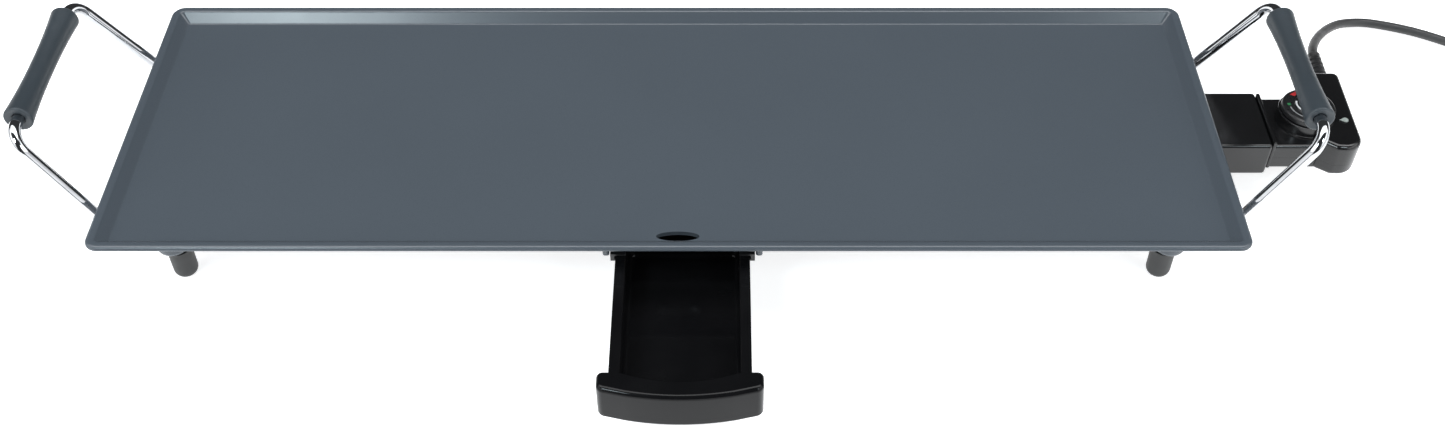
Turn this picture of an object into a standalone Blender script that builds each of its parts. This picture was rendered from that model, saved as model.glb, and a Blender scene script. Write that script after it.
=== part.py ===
"""Electric table griddle.

A coated cast plate stands on four legs and is lifted by two bent-wire handles. A tubular element
heats it from below. A drip tray slides on rails under the front edge, and a plug-in thermostat with
a dial and a mains cord pushes into a shroud on the right.

The row frame is in metres: +X to the right, +Y to the back, +Z up, the table at Z = 0. Everything
but the cord is laid out in the plate frame, whose origin is the centre of the plate at rim height.
"""

from math import cos, pi, radians, sin, tan

import bmesh
import bpy
from mathutils import Vector

GAP = 0.0003

# The plate
PLATE_LENGTH = 0.700
PLATE_DEPTH = 0.230
CORNER_RADIUS = 0.009
RIM_HEIGHT = 0.066
FLOOR_DROP = 0.0065
SHEET = 0.003
UNDERSIDE = -FLOOR_DROP - SHEET
DRIP_X = 0.0052
DRIP_Y = -0.0990
DRIP_HALF_LENGTH = 0.0131
DRIP_HALF_WIDTH = 0.0039

# Cast legs and their feet
LEG_X = 0.3145
LEG_Y = 0.0735
LEG_BOTTOM = -0.043
FOOT_X = 0.312
FOOT_RADIUS = 0.0078
STUD_RADIUS = 0.002

# Handles
GRIP_X = 0.3935
GRIP_Z = 0.043
GRIP_HALF = 0.049
GRIP_END_RADIUS = 0.0089
GRIP_WAIST_RADIUS = 0.0071
WIRE_RADIUS = 0.00375
WIRE_BEND = 0.014
WIRE_CORNER_Y = 0.0655
WIRE_END_X = 0.3168
SOCKET_Z = -0.0275
SET_SCREW_X = 0.3215
HEEL_X = 0.3487

# Heating element, terminals and the probe's sleeve
ELEMENT_RADIUS = 0.003
ELEMENT_Z = UNDERSIDE - GAP - ELEMENT_RADIUS
RUN_PITCH = 0.044
CLIP_TOP = ELEMENT_Z - ELEMENT_RADIUS - GAP
CLIP_SHEET = 0.001
ELEMENT_LEFT = -0.285
INLET_Y = 0.02075
CONTACT_Z = -0.0328
PIN_SPACING = 0.022
PIN_RADIUS = 0.003
PIN_TIP_X = 0.368
PROBE_RADIUS = 0.003
PROBE_TIP_X = 0.266

# The shroud round the terminals
SHROUD_BACK_X = 0.3325
SHROUD_MOUTH_X = 0.3927
SHROUD_HALF_WIDTH = 0.02675
SHROUD_TOP = -0.020
SHROUD_BOTTOM = -0.0456
SHROUD_WALL = 0.0022

# The plug-in control
NECK_START_X = 0.3395
NECK_HALF_WIDTH = 0.02405
NECK_TOP = -0.0228
NECK_BOTTOM = -0.0424
COLLAR_X = 0.3942
CASE_RIGHT_X = 0.4531
CASE_TAPER = 0.0026
CASE_REAR_Y = 0.0650
CASE_TOP = -0.0165
CASE_BOTTOM = -0.0420
CASE_WALL = 0.002
DIAL_X = 0.4205
DIAL_Y = 0.0230
DIAL_RADIUS = 0.0175
TURRET_RADIUS = 0.0189
TURRET_TOP = -0.0145
LENS_X = 0.4438
LENS_Y = 0.0152
RELIEF_X = 0.4452
RELIEF_Z = -0.031
RELIEF_LENGTH = 0.0335
RELIEF_TURN = radians(6.5)

# Drip tray and rails
TRAY_X = 0.008
TRAY_HALF_WIDTH = 0.041
TRAY_FLANGE = 0.0067
TRAY_TOP = -0.0181
TRAY_BOTTOM = -0.0445
TRAY_BACK_Y = -0.080
TRAY_WALL = 0.0018
FACE_HALF_WIDTH = 0.0478
FACE_FRONT_Y = -0.2125
FACE_WING_Y = -0.1925
RAIL_FRONT_Y = -0.105
RAIL_BACK_Y = 0.010
RAIL_TOP = ELEMENT_Z - ELEMENT_RADIUS - 0.0004
RAIL_SHEET = 0.0014

# The row frame's origin is the middle of the box round everything but the cord, on the table.
PLATE_X = (GRIP_X + GRIP_END_RADIUS - CASE_RIGHT_X) / 2
PLATE_Y = -(FACE_FRONT_Y + PLATE_DEPTH / 2) / 2

# Mains cord, in the row frame. It drops to the table and runs to a coil, then to its plug.
CORD_RADIUS = 0.00325
CORD_STEP = 0.0145
CORD_ROUTE = [
    (0.4204, 0.1178, 0.0350),
    (0.4220, 0.1324, 0.0350),
    (0.4236, 0.1470, 0.0349),
    (0.4281, 0.1610, 0.0310),
    (0.4378, 0.1793, 0.0240),
    (0.4510, 0.1981, 0.0160),
    (0.4648, 0.2125, 0.0095),
    (0.4760, 0.2195, 0.0058),
    (0.4900, 0.2226, 0.0036),
    (0.5050, 0.2194, 0.0034),
    (0.5250, 0.2120, 0.0034),
    (0.5448, 0.2010, 0.0034),
    (0.5640, 0.1885, 0.0036),
    (0.5830, 0.1765, 0.0042),
    (0.5955, 0.1703, 0.0046),
]
COIL_X = 0.615
COIL_Y = 0.122
COIL_MIDDLE_RADIUS = 0.036
COIL_LOWEST = 0.0015
TURNS_ACROSS = 3
TURNS_HIGH = 2
PLUG_X = 0.6600
PLUG_Y = 0.0290
PLUG_RADIUS = 0.0185
PLUG_LENGTH = 0.036
PLUG_Z = PLUG_RADIUS + 0.0005
PLUG_PIN_OFFSET = 0.0095
TAIL_ROUTE = [
    (0.6610, 0.1015, 0.0085),
    (0.6620, 0.0890, 0.0105),
    (0.6615, 0.0760, 0.0155),
    (0.6600, 0.0663, 0.0190),
]

PAINTS = {
    "slate_coating": ((0.085, 0.105, 0.125), 0.45, 0.0),
    "black_plastic": ((0.012, 0.012, 0.013), 0.35, 0.0),
    "gloss_black": ((0.008, 0.008, 0.009), 0.12, 0.0),
    "grey_grip": ((0.060, 0.075, 0.090), 0.40, 0.0),
    "chrome": ((0.80, 0.81, 0.82), 0.06, 1.0),
    "steel": ((0.50, 0.50, 0.51), 0.30, 1.0),
    "brass": ((0.66, 0.50, 0.22), 0.30, 1.0),
    "ceramic": ((0.78, 0.76, 0.70), 0.50, 0.0),
    "lens": ((0.75, 0.80, 0.78), 0.15, 0.0),
    "cord_rubber": ((0.035, 0.035, 0.037), 0.55, 0.0),
}


# Modelling helpers


def clear_scene():
    for obj in list(bpy.data.objects):
        bpy.data.objects.remove(obj, do_unlink=True)


def make_paints():
    for name, (colour, roughness, metallic) in PAINTS.items():
        paint = bpy.data.materials.new(name)
        paint.use_nodes = True
        shader = paint.node_tree.nodes["Principled BSDF"]
        shader.inputs["Base Color"].default_value = (*colour, 1)
        shader.inputs["Roughness"].default_value = roughness
        shader.inputs["Metallic"].default_value = metallic
        paint.diffuse_color = (*colour, 1)


def empty(name, place, parent=None):
    obj = bpy.data.objects.new(name, None)
    bpy.context.scene.collection.objects.link(obj)
    obj.location = place
    obj.parent = parent
    return obj


def add_object(name, data, place=(0, 0, 0)):
    obj = bpy.data.objects.new(name, data)
    bpy.context.scene.collection.objects.link(obj)
    obj.location = place
    return obj


def dress(obj, paint, parent=None):
    """Gives a finished piece its paint, and one parent for it and for the helpers of its Booleans."""
    obj.data.materials.clear()
    obj.data.materials.append(bpy.data.materials[paint])
    obj.parent = parent
    for modifier in obj.modifiers:
        if modifier.type == "BOOLEAN":
            for helper in modifier.collection.objects:
                helper.parent = parent
    return obj


def mesh_object(name, shape, place=(0, 0, 0)):
    mesh = bpy.data.meshes.new(name)
    shape.to_mesh(mesh)
    shape.free()
    return add_object(name, mesh, place)


def baked(obj):
    """The object as one plain mesh with its modifiers applied and its caps welded."""
    bpy.context.view_layer.update()
    evaluated = obj.evaluated_get(bpy.context.evaluated_depsgraph_get())
    mesh = bpy.data.meshes.new_from_object(evaluated)
    shape = bmesh.new()
    shape.from_mesh(mesh)
    bmesh.ops.remove_doubles(shape, verts=shape.verts, dist=1e-6)
    shape.to_mesh(mesh)
    shape.free()
    name = obj.name
    placed = obj.matrix_world.copy()
    bpy.data.objects.remove(obj, do_unlink=True)
    result = add_object(name, mesh)
    result.matrix_world = placed
    return result


def round_edges(obj, width, segments=2, angle=40):
    bevel = obj.modifiers.new("rounded edges", "BEVEL")
    bevel.width = width
    bevel.segments = segments
    bevel.limit_method = "ANGLE"
    bevel.angle_limit = radians(angle)
    return obj


def combine(obj, helpers, operation):
    """Joins the helpers to the object, or cuts them out of it."""
    group = bpy.data.collections.new(f"{obj.name}_{operation.lower()}")
    group.hide_render = True
    bpy.context.scene.collection.children.link(group)
    for helper in helpers:
        helper.users_collection[0].objects.unlink(helper)
        group.objects.link(helper)
        helper.hide_render = True
        helper.display_type = "WIRE"
    modifier = obj.modifiers.new(operation.lower(), "BOOLEAN")
    modifier.operation = operation
    modifier.operand_type = "COLLECTION"
    modifier.collection = group
    modifier.solver = "EXACT"
    return obj


def block(name, low, high, rounding=0.0):
    shape = bmesh.new()
    bmesh.ops.create_cube(shape, size=1)
    low = Vector(low)
    high = Vector(high)
    bmesh.ops.scale(shape, vec=high - low, verts=shape.verts)
    obj = mesh_object(name, shape, (low + high) / 2)
    return round_edges(obj, rounding) if rounding else obj


def rod(name, radius, start, end, segments=24):
    start = Vector(start)
    end = Vector(end)
    shape = bmesh.new()
    bmesh.ops.create_cone(
        shape, cap_ends=True, segments=segments, radius1=radius, radius2=radius, depth=(end - start).length
    )
    obj = mesh_object(name, shape, (start + end) / 2)
    obj.rotation_euler = (end - start).to_track_quat("Z", "Y").to_euler()
    return obj


def turned(name, profile, place, along="Z", steps=32, looped=False):
    """A turned piece. The profile is (radius, height) pairs down its outer side; a looped one has a bore."""
    mesh = bpy.data.meshes.new(name)
    edges = [(index, index + 1) for index in range(len(profile) - 1)]
    if looped:
        edges.append((len(profile) - 1, 0))
    mesh.from_pydata([(radius, 0, height) for radius, height in profile], edges, [])
    obj = add_object(name, mesh, place)
    obj.rotation_euler = {"Z": (0, 0, 0), "X": (0, pi / 2, 0), "Y": (-pi / 2, 0, 0)}[along]
    screw = obj.modifiers.new("turn", "SCREW")
    screw.steps = steps
    screw.render_steps = steps
    screw.use_merge_vertices = True
    screw.merge_threshold = 1e-5
    return obj


def filleted(corners, closed=False, steps=6):
    """Points along straight runs with an arc at each corner. Each corner is a point and its bend radius."""
    points = []
    count = len(corners)
    for index, (corner, radius) in enumerate(corners):
        corner = Vector(corner)
        if radius == 0 or (not closed and index in (0, count - 1)):
            points.append(corner)
            continue
        back = (Vector(corners[index - 1][0]) - corner).normalized()
        ahead = (Vector(corners[(index + 1) % count][0]) - corner).normalized()
        half = back.angle(ahead) / 2
        centre = corner + (back + ahead).normalized() * radius / sin(half)
        start = corner + back * radius / tan(half) - centre
        end = corner + ahead * radius / tan(half) - centre
        turn = start.angle(end)
        for step in range(steps + 1):
            share = step / steps
            point = (start * sin((1 - share) * turn) + end * sin(share * turn)) / sin(turn)
            points.append(centre + point)
    return points


def flat_corners(corners):
    """Corners given as (x, y, bend radius), as filleted wants them."""
    return [((x, y, 0), radius) for x, y, radius in corners]


def rectangle(low_x, low_y, high_x, high_y, radius):
    return [
        (low_x, low_y, radius),
        (high_x, low_y, radius),
        (high_x, high_y, radius),
        (low_x, high_y, radius),
    ]


def slab(name, outline, low, high):
    """A flat piece with this outline between two heights, as a welded mesh."""
    curve = bpy.data.curves.new(name, "CURVE")
    curve.dimensions = "2D"
    curve.fill_mode = "BOTH"
    curve.extrude = (high - low) / 2
    spline = curve.splines.new("POLY")
    spline.points.add(len(outline) - 1)
    for point, place in zip(spline.points, outline):
        point.co = (place[0], place[1], 0, 1)
    spline.use_cyclic_u = True
    return baked(add_object(name, curve, (0, 0, (low + high) / 2)))


def ring_skin(name, rings):
    """A closed skin through rings of equally many points, with the first and the last ring filled."""
    shape = bmesh.new()
    rows = [[shape.verts.new(point) for point in ring] for ring in rings]
    for row, next_row in zip(rows, rows[1:]):
        for index, corner in enumerate(row):
            before = index - 1
            shape.faces.new((row[before], corner, next_row[index], next_row[before]))
    shape.faces.new(rows[0])
    shape.faces.new(rows[-1])
    bmesh.ops.recalc_face_normals(shape, faces=shape.faces)
    return mesh_object(name, shape)


def tube(name, points, radius, resolution=3):
    curve = bpy.data.curves.new(name, "CURVE")
    curve.dimensions = "3D"
    curve.bevel_depth = radius
    curve.bevel_resolution = resolution
    curve.use_fill_caps = True
    spline = curve.splines.new("POLY")
    spline.points.add(len(points) - 1)
    for point, place in zip(spline.points, points):
        point.co = (*place, 1)
    return add_object(name, curve)


def smooth_route(points, step):
    """Points this far apart, at most, on a smooth curve through the given points."""
    points = [Vector(point) for point in points]
    ends = [2 * points[0] - points[1], *points, 2 * points[-1] - points[-2]]
    route = [points[0]]
    for index in range(1, len(ends) - 2):
        before, start, end, after = ends[index - 1 : index + 3]
        pieces = max(1, round((end - start).length / step))
        for piece in range(1, pieces + 1):
            share = piece / pieces
            bend = 2 * before - 5 * start + 4 * end - after
            twist = 3 * start - before - 3 * end + after
            route.append(start + share / 2 * ((end - before) + share * (bend + share * twist)))
    return route


# The plate and what is cast on it


def dish():
    """The plate's skin: rounded rectangles stepped from its floor out to the rim, and back under."""
    profile = [
        (0.0128, -FLOOR_DROP),
        (0.0119, -0.0063),
        (0.0112, -0.0058),
        (0.0064, -0.0011),
        (0.0052, -0.0003),
        (0.0026, 0),
        (0.0012, -0.0002),
        (0.0004, -0.0009),
        (0, -0.0022),
        (0.0004, -0.0029),
        (0.0012, -0.0032),
        (0.0043, -0.0032),
        (0.0091, -0.0079),
        (0.0108, -0.0092),
        (0.0122, UNDERSIDE),
    ]
    rings = []
    for inwards, height in profile:
        half_length = PLATE_LENGTH / 2 - inwards
        half_depth = PLATE_DEPTH / 2 - inwards
        radius = max(CORNER_RADIUS - inwards, 0.0015)
        corners = rectangle(-half_length, -half_depth, half_length, half_depth, radius)
        outline = filleted(flat_corners(corners), closed=True)
        rings.append([(x, y, height) for x, y, _ in outline])
    return ring_skin("griddle_plate", rings)


def leg(x, y):
    root = UNDERSIDE + 0.001
    profile = [
        (0, root),
        (0.0122, root),
        (0.0112, UNDERSIDE - 0.004),
        (0.0104, LEG_BOTTOM + 0.003),
        (0.0095, LEG_BOTTOM + 0.0009),
        (0.0074, LEG_BOTTOM),
        (0, LEG_BOTTOM),
    ]
    return turned("leg", profile, (x, y, 0), steps=24)


def post(x, y, radius, bottom):
    return rod("post", radius, (x, y, bottom), (x, y, UNDERSIDE + 0.001), 20)


def screw_hole(x, y, bottom, depth=0.0045):
    return rod("screw_hole", 0.0018, (x, y, bottom - 0.001), (x, y, bottom + depth), 12)


def legs():
    return [(side * LEG_X, end * LEG_Y, side, end) for side in (-1, 1) for end in (-1, 1)]


def rail_screws_at(side):
    """Where a rail's two ears are screwed up to the plate, between the runs of the element."""
    return {"front": (TRAY_X + side * 0.048, -RUN_PITCH), "rear": (TRAY_X + side * 0.048, 0.0)}


def clips_at():
    """Where each strip that holds the element up is screwed to the plate, between its runs."""
    return {"left": -0.215, "middle": -0.075, "right": 0.125}


def shroud_screws_at():
    return {"front": (0.3255, INLET_Y - 0.0195), "rear": (0.3255, INLET_Y + 0.0195)}


def griddle_plate():
    plate = dish()
    cast = [leg(x, y) for x, y, _, _ in legs()]
    cast += [post(x, 0, 0.0040, CLIP_TOP + GAP) for x in clips_at().values()]
    cast += [post(x, y, 0.0045, SHROUD_TOP + GAP) for x, y in shroud_screws_at().values()]
    for side in (-1, 1):
        cast += [post(x, y, 0.0040, RAIL_TOP + GAP) for x, y in rail_screws_at(side).values()]
        rib_x = TRAY_X + side * 0.04655
        low = (rib_x - 0.0021, RAIL_FRONT_Y, RAIL_TOP - 0.002)
        high = (rib_x + 0.0021, RAIL_FRONT_Y + 0.020, UNDERSIDE + 0.001)
        cast.append(block("rail_rib", low, high, 0.0014))
    low = (PROBE_TIP_X + 0.002, INLET_Y - 0.004, CONTACT_Z + 0.0045 + GAP)
    high = (PROBE_TIP_X + 0.030, INLET_Y + 0.004, UNDERSIDE + 0.001)
    cast.append(block("sleeve_saddle", low, high))
    combine(plate, cast, "UNION")

    drip = rod("drip", 1, (DRIP_X, DRIP_Y, -0.03), (DRIP_X, DRIP_Y, 0.01), 32)
    drip.scale = (DRIP_HALF_LENGTH, DRIP_HALF_WIDTH, 1)
    holes = [drip]
    for x, y, side, end in legs():
        stud_x = side * FOOT_X
        stud_low = (stud_x, y, LEG_BOTTOM - 0.001)
        stud_high = (stud_x, y, -0.0338)
        holes.append(rod("stud_hole", STUD_RADIUS + 0.0002, stud_low, stud_high))
        outside = (side * (LEG_X + 0.015), y, SOCKET_Z)
        inside = (side * (WIRE_END_X - 0.0005), y, SOCKET_Z)
        holes.append(rod("wire_socket", WIRE_RADIUS + 0.00035, outside, inside))
        near = (side * SET_SCREW_X, end * (LEG_Y - 0.0125), SOCKET_Z)
        far = (side * SET_SCREW_X, end * (LEG_Y - 0.0030), SOCKET_Z)
        holes.append(rod("set_screw_hole", 0.0018, near, far, 12))
    for side in (-1, 1):
        holes += [screw_hole(x, y, RAIL_TOP + GAP) for x, y in rail_screws_at(side).values()]
    holes += [screw_hole(x, 0, CLIP_TOP + GAP) for x in clips_at().values()]
    holes += [screw_hole(x, y, SHROUD_TOP + GAP) for x, y in shroud_screws_at().values()]
    combine(plate, holes, "DIFFERENCE")
    return plate


def foot(name, side, end):
    """A round foot moulded on a stud that screws up into the leg."""
    top = LEG_BOTTOM - GAP
    bottom = -RIM_HEIGHT
    profile = [
        (0, -0.0345),
        (STUD_RADIUS, -0.0345),
        (STUD_RADIUS, top),
        (FOOT_RADIUS - 0.0006, top),
        (FOOT_RADIUS, top - 0.0006),
        (FOOT_RADIUS - 0.0001, bottom + 0.0042),
        (FOOT_RADIUS - 0.0008, bottom + 0.0020),
        (FOOT_RADIUS - 0.0021, bottom + 0.0006),
        (FOOT_RADIUS - 0.0036, bottom),
        (0, bottom),
    ]
    return turned(name, profile, (side * FOOT_X, end * LEG_Y, 0))


# Handles


def handle_wire(name, side):
    """A wire bent up from two legs and through the grip."""
    half = [
        ((WIRE_END_X, LEG_Y, SOCKET_Z), 0),
        ((HEEL_X, LEG_Y, SOCKET_Z), WIRE_BEND),
        ((GRIP_X, WIRE_CORNER_Y, GRIP_Z), WIRE_BEND),
    ]
    other = [((x, -y, z), bend) for (x, y, z), bend in reversed(half)]
    corners = [((side * x, y, z), bend) for (x, y, z), bend in half + other]
    return tube(name, filleted(corners, steps=8), WIRE_RADIUS)


def handle_grip(name, side):
    """A waisted grip with a slightly dished face at each end, bored for the wire."""
    bore = WIRE_RADIUS + 0.00035
    half = []
    for step in range(7):
        share = step / 6
        swell = share ** 2.2
        radius = GRIP_WAIST_RADIUS + (GRIP_END_RADIUS - GRIP_WAIST_RADIUS) * swell
        half.append((radius, -share * (GRIP_HALF - 0.0018)))
    half += [
        (GRIP_END_RADIUS - 0.0003, -GRIP_HALF + 0.0008),
        (GRIP_END_RADIUS - 0.0012, -GRIP_HALF),
        (bore + 0.0010, -GRIP_HALF + 0.0006),
        (bore, -GRIP_HALF + 0.0012),
    ]
    top = [(radius, -height) for radius, height in reversed(half)]
    return turned(name, top[:-1] + half, (side * GRIP_X, 0, GRIP_Z), along="Y", looped=True)


def handle_set_screw(name, side, end):
    """A grub screw that locks the wire in its leg."""
    x = side * SET_SCREW_X
    inner = (x, end * (LEG_Y - 0.0098), SOCKET_Z)
    outer = (x, end * (LEG_Y - WIRE_RADIUS - GAP), SOCKET_Z)
    return rod(name, 0.0015, inner, outer, 12)


# Heating element and terminals


def element_path():
    """Four runs under the plate, then down to the two terminals in the shroud."""
    far = ELEMENT_LEFT
    run = RUN_PITCH / 2
    right = 0.215
    sheath_end = SHROUD_BACK_X - 0.0015
    pin_low = INLET_Y - PIN_SPACING / 2
    pin_high = INLET_Y + PIN_SPACING / 2
    turn = run * 0.98
    return [
        ((sheath_end, pin_high, CONTACT_Z), 0),
        ((0.3120, pin_high, CONTACT_Z), 0.008),
        ((0.2960, pin_high + 0.012, ELEMENT_Z), 0.008),
        ((0.2700, 3 * run, ELEMENT_Z), 0.012),
        ((far, 3 * run, ELEMENT_Z), turn),
        ((far, run, ELEMENT_Z), turn),
        ((right, run, ELEMENT_Z), turn),
        ((right, -run, ELEMENT_Z), turn),
        ((far, -run, ELEMENT_Z), turn),
        ((far, -3 * run, ELEMENT_Z), turn),
        ((0.2600, -3 * run, ELEMENT_Z), 0.012),
        ((0.2960, pin_low - 0.018, ELEMENT_Z), 0.008),
        ((0.3120, pin_low, CONTACT_Z), 0.008),
        ((sheath_end, pin_low, CONTACT_Z), 0),
    ]


def element_clip(name, x):
    """A steel strip under all four runs, screwed to a post in the middle."""
    reach = 1.5 * RUN_PITCH + ELEMENT_RADIUS + 0.001
    strip = block(name, (x - 0.006, -reach, CLIP_TOP - CLIP_SHEET), (x + 0.006, reach, CLIP_TOP))
    hole = rod("clip_hole", 0.0019, (x, 0, CLIP_TOP - 0.01), (x, 0, CLIP_TOP + 0.01), 12)
    return combine(strip, [hole], "DIFFERENCE")


def pan_screw(name, place, top, thickness, shank):
    """A screw driven upwards through a sheet whose upper face is at the height of top."""
    under = top - thickness - GAP
    profile = [
        (0, top + shank),
        (0.0015, top + shank),
        (0.0015, under),
        (0.0030, under),
        (0.0026, under - 0.0016),
        (0, under - 0.0020),
    ]
    return turned(name, profile, (*place, 0), steps=12)


def pins_at():
    return {"front": INLET_Y - PIN_SPACING / 2, "rear": INLET_Y + PIN_SPACING / 2}


def terminal_pin(name, y):
    start = SHROUD_BACK_X - 0.0012
    length = PIN_TIP_X - start
    profile = [
        (0, length),
        (PIN_RADIUS - 0.0010, length),
        (PIN_RADIUS, length - 0.0015),
        (PIN_RADIUS, 0),
        (0, 0),
    ]
    return turned(name, profile, (start, y, CONTACT_Z), along="X", steps=20)


def terminal_insulator(name, y):
    bore = PIN_RADIUS + GAP
    profile = [(bore, 0.0065), (0.0044, 0.0065), (0.0044, 0), (bore, 0)]
    return turned(name, profile, (SHROUD_BACK_X - 0.0010, y, CONTACT_Z), along="X", steps=20, looped=True)


def probe_sleeve():
    """The closed tube under the plate that the thermostat's probe slides into."""
    length = SHROUD_BACK_X + 0.004 - (PROBE_TIP_X - 0.003)
    profile = [
        (0.0036, length),
        (0.0045, length),
        (0.0045, 0),
        (0.0036, 0),
    ]
    place = (PROBE_TIP_X - 0.003, INLET_Y, CONTACT_Z)
    return turned("probe_sleeve", profile, place, along="X", steps=24, looped=True)


def connector_shroud():
    """An open box round the terminals, with two ears screwed up to the plate."""
    low = (SHROUD_BACK_X, INLET_Y - SHROUD_HALF_WIDTH, SHROUD_BOTTOM)
    high = (SHROUD_MOUTH_X, INLET_Y + SHROUD_HALF_WIDTH, SHROUD_TOP)
    shroud = block("connector_shroud", low, high, 0.0022)
    ears = [
        block("ear", (x - 0.0055, y - 0.0055, SHROUD_TOP - SHROUD_WALL), (x + 0.009, y + 0.0055, SHROUD_TOP))
        for x, y in shroud_screws_at().values()
    ]
    combine(shroud, ears, "UNION")
    wall = SHROUD_WALL
    cavity = block(
        "cavity",
        (low[0] + wall, low[1] + wall, low[2] + wall),
        (high[0] + 0.01, high[1] - wall, high[2] - wall),
    )
    holes = [cavity]
    back = (SHROUD_BACK_X - 0.01, SHROUD_BACK_X + 0.01)
    for y in pins_at().values():
        holes.append(rod("pin_hole", 0.0047, (back[0], y, CONTACT_Z), (back[1], y, CONTACT_Z)))
    holes.append(rod("sleeve_hole", 0.0048, (back[0], INLET_Y, CONTACT_Z), (back[1], INLET_Y, CONTACT_Z)))
    for x, y in shroud_screws_at().values():
        holes.append(rod("ear_hole", 0.0019, (x, y, SHROUD_TOP - 0.01), (x, y, SHROUD_TOP + 0.01), 12))
    combine(shroud, holes, "DIFFERENCE")
    return shroud


def earth_blade():
    """The earth strip on the floor of the shroud."""
    floor = SHROUD_BOTTOM + SHROUD_WALL + GAP
    low = (SHROUD_BACK_X + SHROUD_WALL + GAP, INLET_Y - 0.003, floor)
    return block("earth_blade", low, (SHROUD_MOUTH_X - 0.004, INLET_Y + 0.003, floor + 0.0004))


# Drip tray and rails


def tray_rail(name, side):
    """A folded channel: top flange, outer wall and the lip that the tray's flange rides on."""
    inner = 0.0365
    top = RAIL_TOP
    lip_top = TRAY_TOP - 0.0020 - 0.0004
    section = [
        (inner - 0.002, top),
        (0.0440, top),
        (0.0440, lip_top - 0.0014),
        (inner, lip_top - 0.0014),
        (inner, lip_top),
        (0.0440 - 0.0024, lip_top),
        (0.0440 - 0.0024, top - RAIL_SHEET),
        (inner - 0.002, top - RAIL_SHEET),
    ]
    shape = bmesh.new()
    ring = [shape.verts.new((TRAY_X + side * x, RAIL_FRONT_Y, z)) for x, z in section]
    face = shape.faces.new(ring)
    swept = bmesh.ops.extrude_face_region(shape, geom=[face])["geom"]
    moved = [item for item in swept if isinstance(item, bmesh.types.BMVert)]
    bmesh.ops.translate(shape, vec=(0, RAIL_BACK_Y - RAIL_FRONT_Y, 0), verts=moved)
    bmesh.ops.recalc_face_normals(shape, faces=shape.faces)
    rail = mesh_object(name, shape)
    ears = []
    holes = []
    for x, y in rail_screws_at(side).values():
        ears.append(block("ear", (x - 0.005, y - 0.005, top - RAIL_SHEET), (x + 0.005, y + 0.005, top)))
        holes.append(rod("ear_hole", 0.0019, (x, y, top - 0.01), (x, y, top + 0.01), 12))
    combine(rail, ears, "UNION")
    combine(rail, holes, "DIFFERENCE")
    return rail


def bowed_front(half_width, side_y, bow, steps=12):
    """Points from left to right along a front edge that bows forwards in the middle."""
    points = []
    for step in range(steps + 1):
        across = -1 + 2 * step / steps
        points.append((TRAY_X + across * half_width, side_y - bow * (1 - across * across), 0))
    return points


def tray_outline(half_width, side_y, bow, back_y, back_radius):
    """A tray shape in plan, with a bowed front edge."""
    back = filleted(
        flat_corners([
            (TRAY_X + half_width, side_y, 0),
            (TRAY_X + half_width, back_y, back_radius),
            (TRAY_X - half_width, back_y, back_radius),
            (TRAY_X - half_width, side_y, 0),
        ])
    )
    return bowed_front(half_width, side_y, bow) + back[1:-1]


def pull_face():
    """The bowed face to pull by, with rounded corners and wings, lofted with its edges rolled over."""
    height = TRAY_TOP - TRAY_BOTTOM
    steps = [(0.0022, 0), (0.0006, 0.0008), (0, 0.0026)]
    for step in range(5):
        turn = pi / 2 * step / 4
        steps.append((0.0030 * (1 - cos(turn)), height - 0.0030 * (1 - sin(turn))))
    rings = []
    for inwards, rise in steps:
        half = FACE_HALF_WIDTH - inwards
        bow = bowed_front(half, FACE_FRONT_Y + 0.0070 + inwards, 0.0070)
        corner = 0.0052 - inwards
        left = (TRAY_X - half, bow[0][1], corner)
        right = (TRAY_X + half, bow[-1][1], corner)
        wings = [
            (TRAY_X + half, FACE_WING_Y - inwards, 0.0036 - inwards),
            (TRAY_X - half, FACE_WING_Y - inwards, 0.0036 - inwards),
        ]
        outline = filleted(flat_corners([left, *bow[2:-2], right, *wings]), closed=True)
        rings.append([(x, y, TRAY_BOTTOM + rise) for x, y, _ in outline])
    return ring_skin("pull", rings)


def drip_tray():
    """One moulding: a well, a flange along each side and a bowed face to pull it by."""
    well_half = TRAY_HALF_WIDTH - TRAY_FLANGE
    hull_half = well_half + TRAY_WALL
    hull = tray_outline(hull_half, FACE_WING_Y - 0.002, 0.008, TRAY_BACK_Y, 0.006)
    tray = slab("drip_tray", hull, TRAY_BOTTOM, TRAY_TOP)
    flange = tray_outline(TRAY_HALF_WIDTH, FACE_WING_Y - 0.002, 0.008, TRAY_BACK_Y, 0.003)
    pull = pull_face()
    combine(tray, [slab("flange", flange, TRAY_TOP - 0.0020, TRAY_TOP), pull], "UNION")
    well = tray_outline(well_half, -0.1935, 0.0065, TRAY_BACK_Y - TRAY_WALL, 0.005)
    combine(tray, [slab("well", well, TRAY_BOTTOM + TRAY_WALL, TRAY_TOP + 0.01)], "DIFFERENCE")
    return tray


# The plug-in control


def case_outline(inset=0.0):
    """The control's body in plan: narrow at the neck, with a rounded lobe in front."""
    corners = [
        (0.4240 + inset, -0.0040 + inset, 0.0026),
        (0.4330 + inset, -0.0106 + inset, 0.006),
        (CASE_RIGHT_X - CASE_TAPER - inset, -0.0114 + inset, 0.0125 - inset),
        (CASE_RIGHT_X - inset, CASE_REAR_Y - inset, 0.0046 - inset),
        (0.4310 + inset, CASE_REAR_Y - inset, 0.0034),
        (0.4240 + inset, 0.0480 - inset, 0.003),
    ]
    return filleted(flat_corners(corners), closed=True, steps=5)


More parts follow.
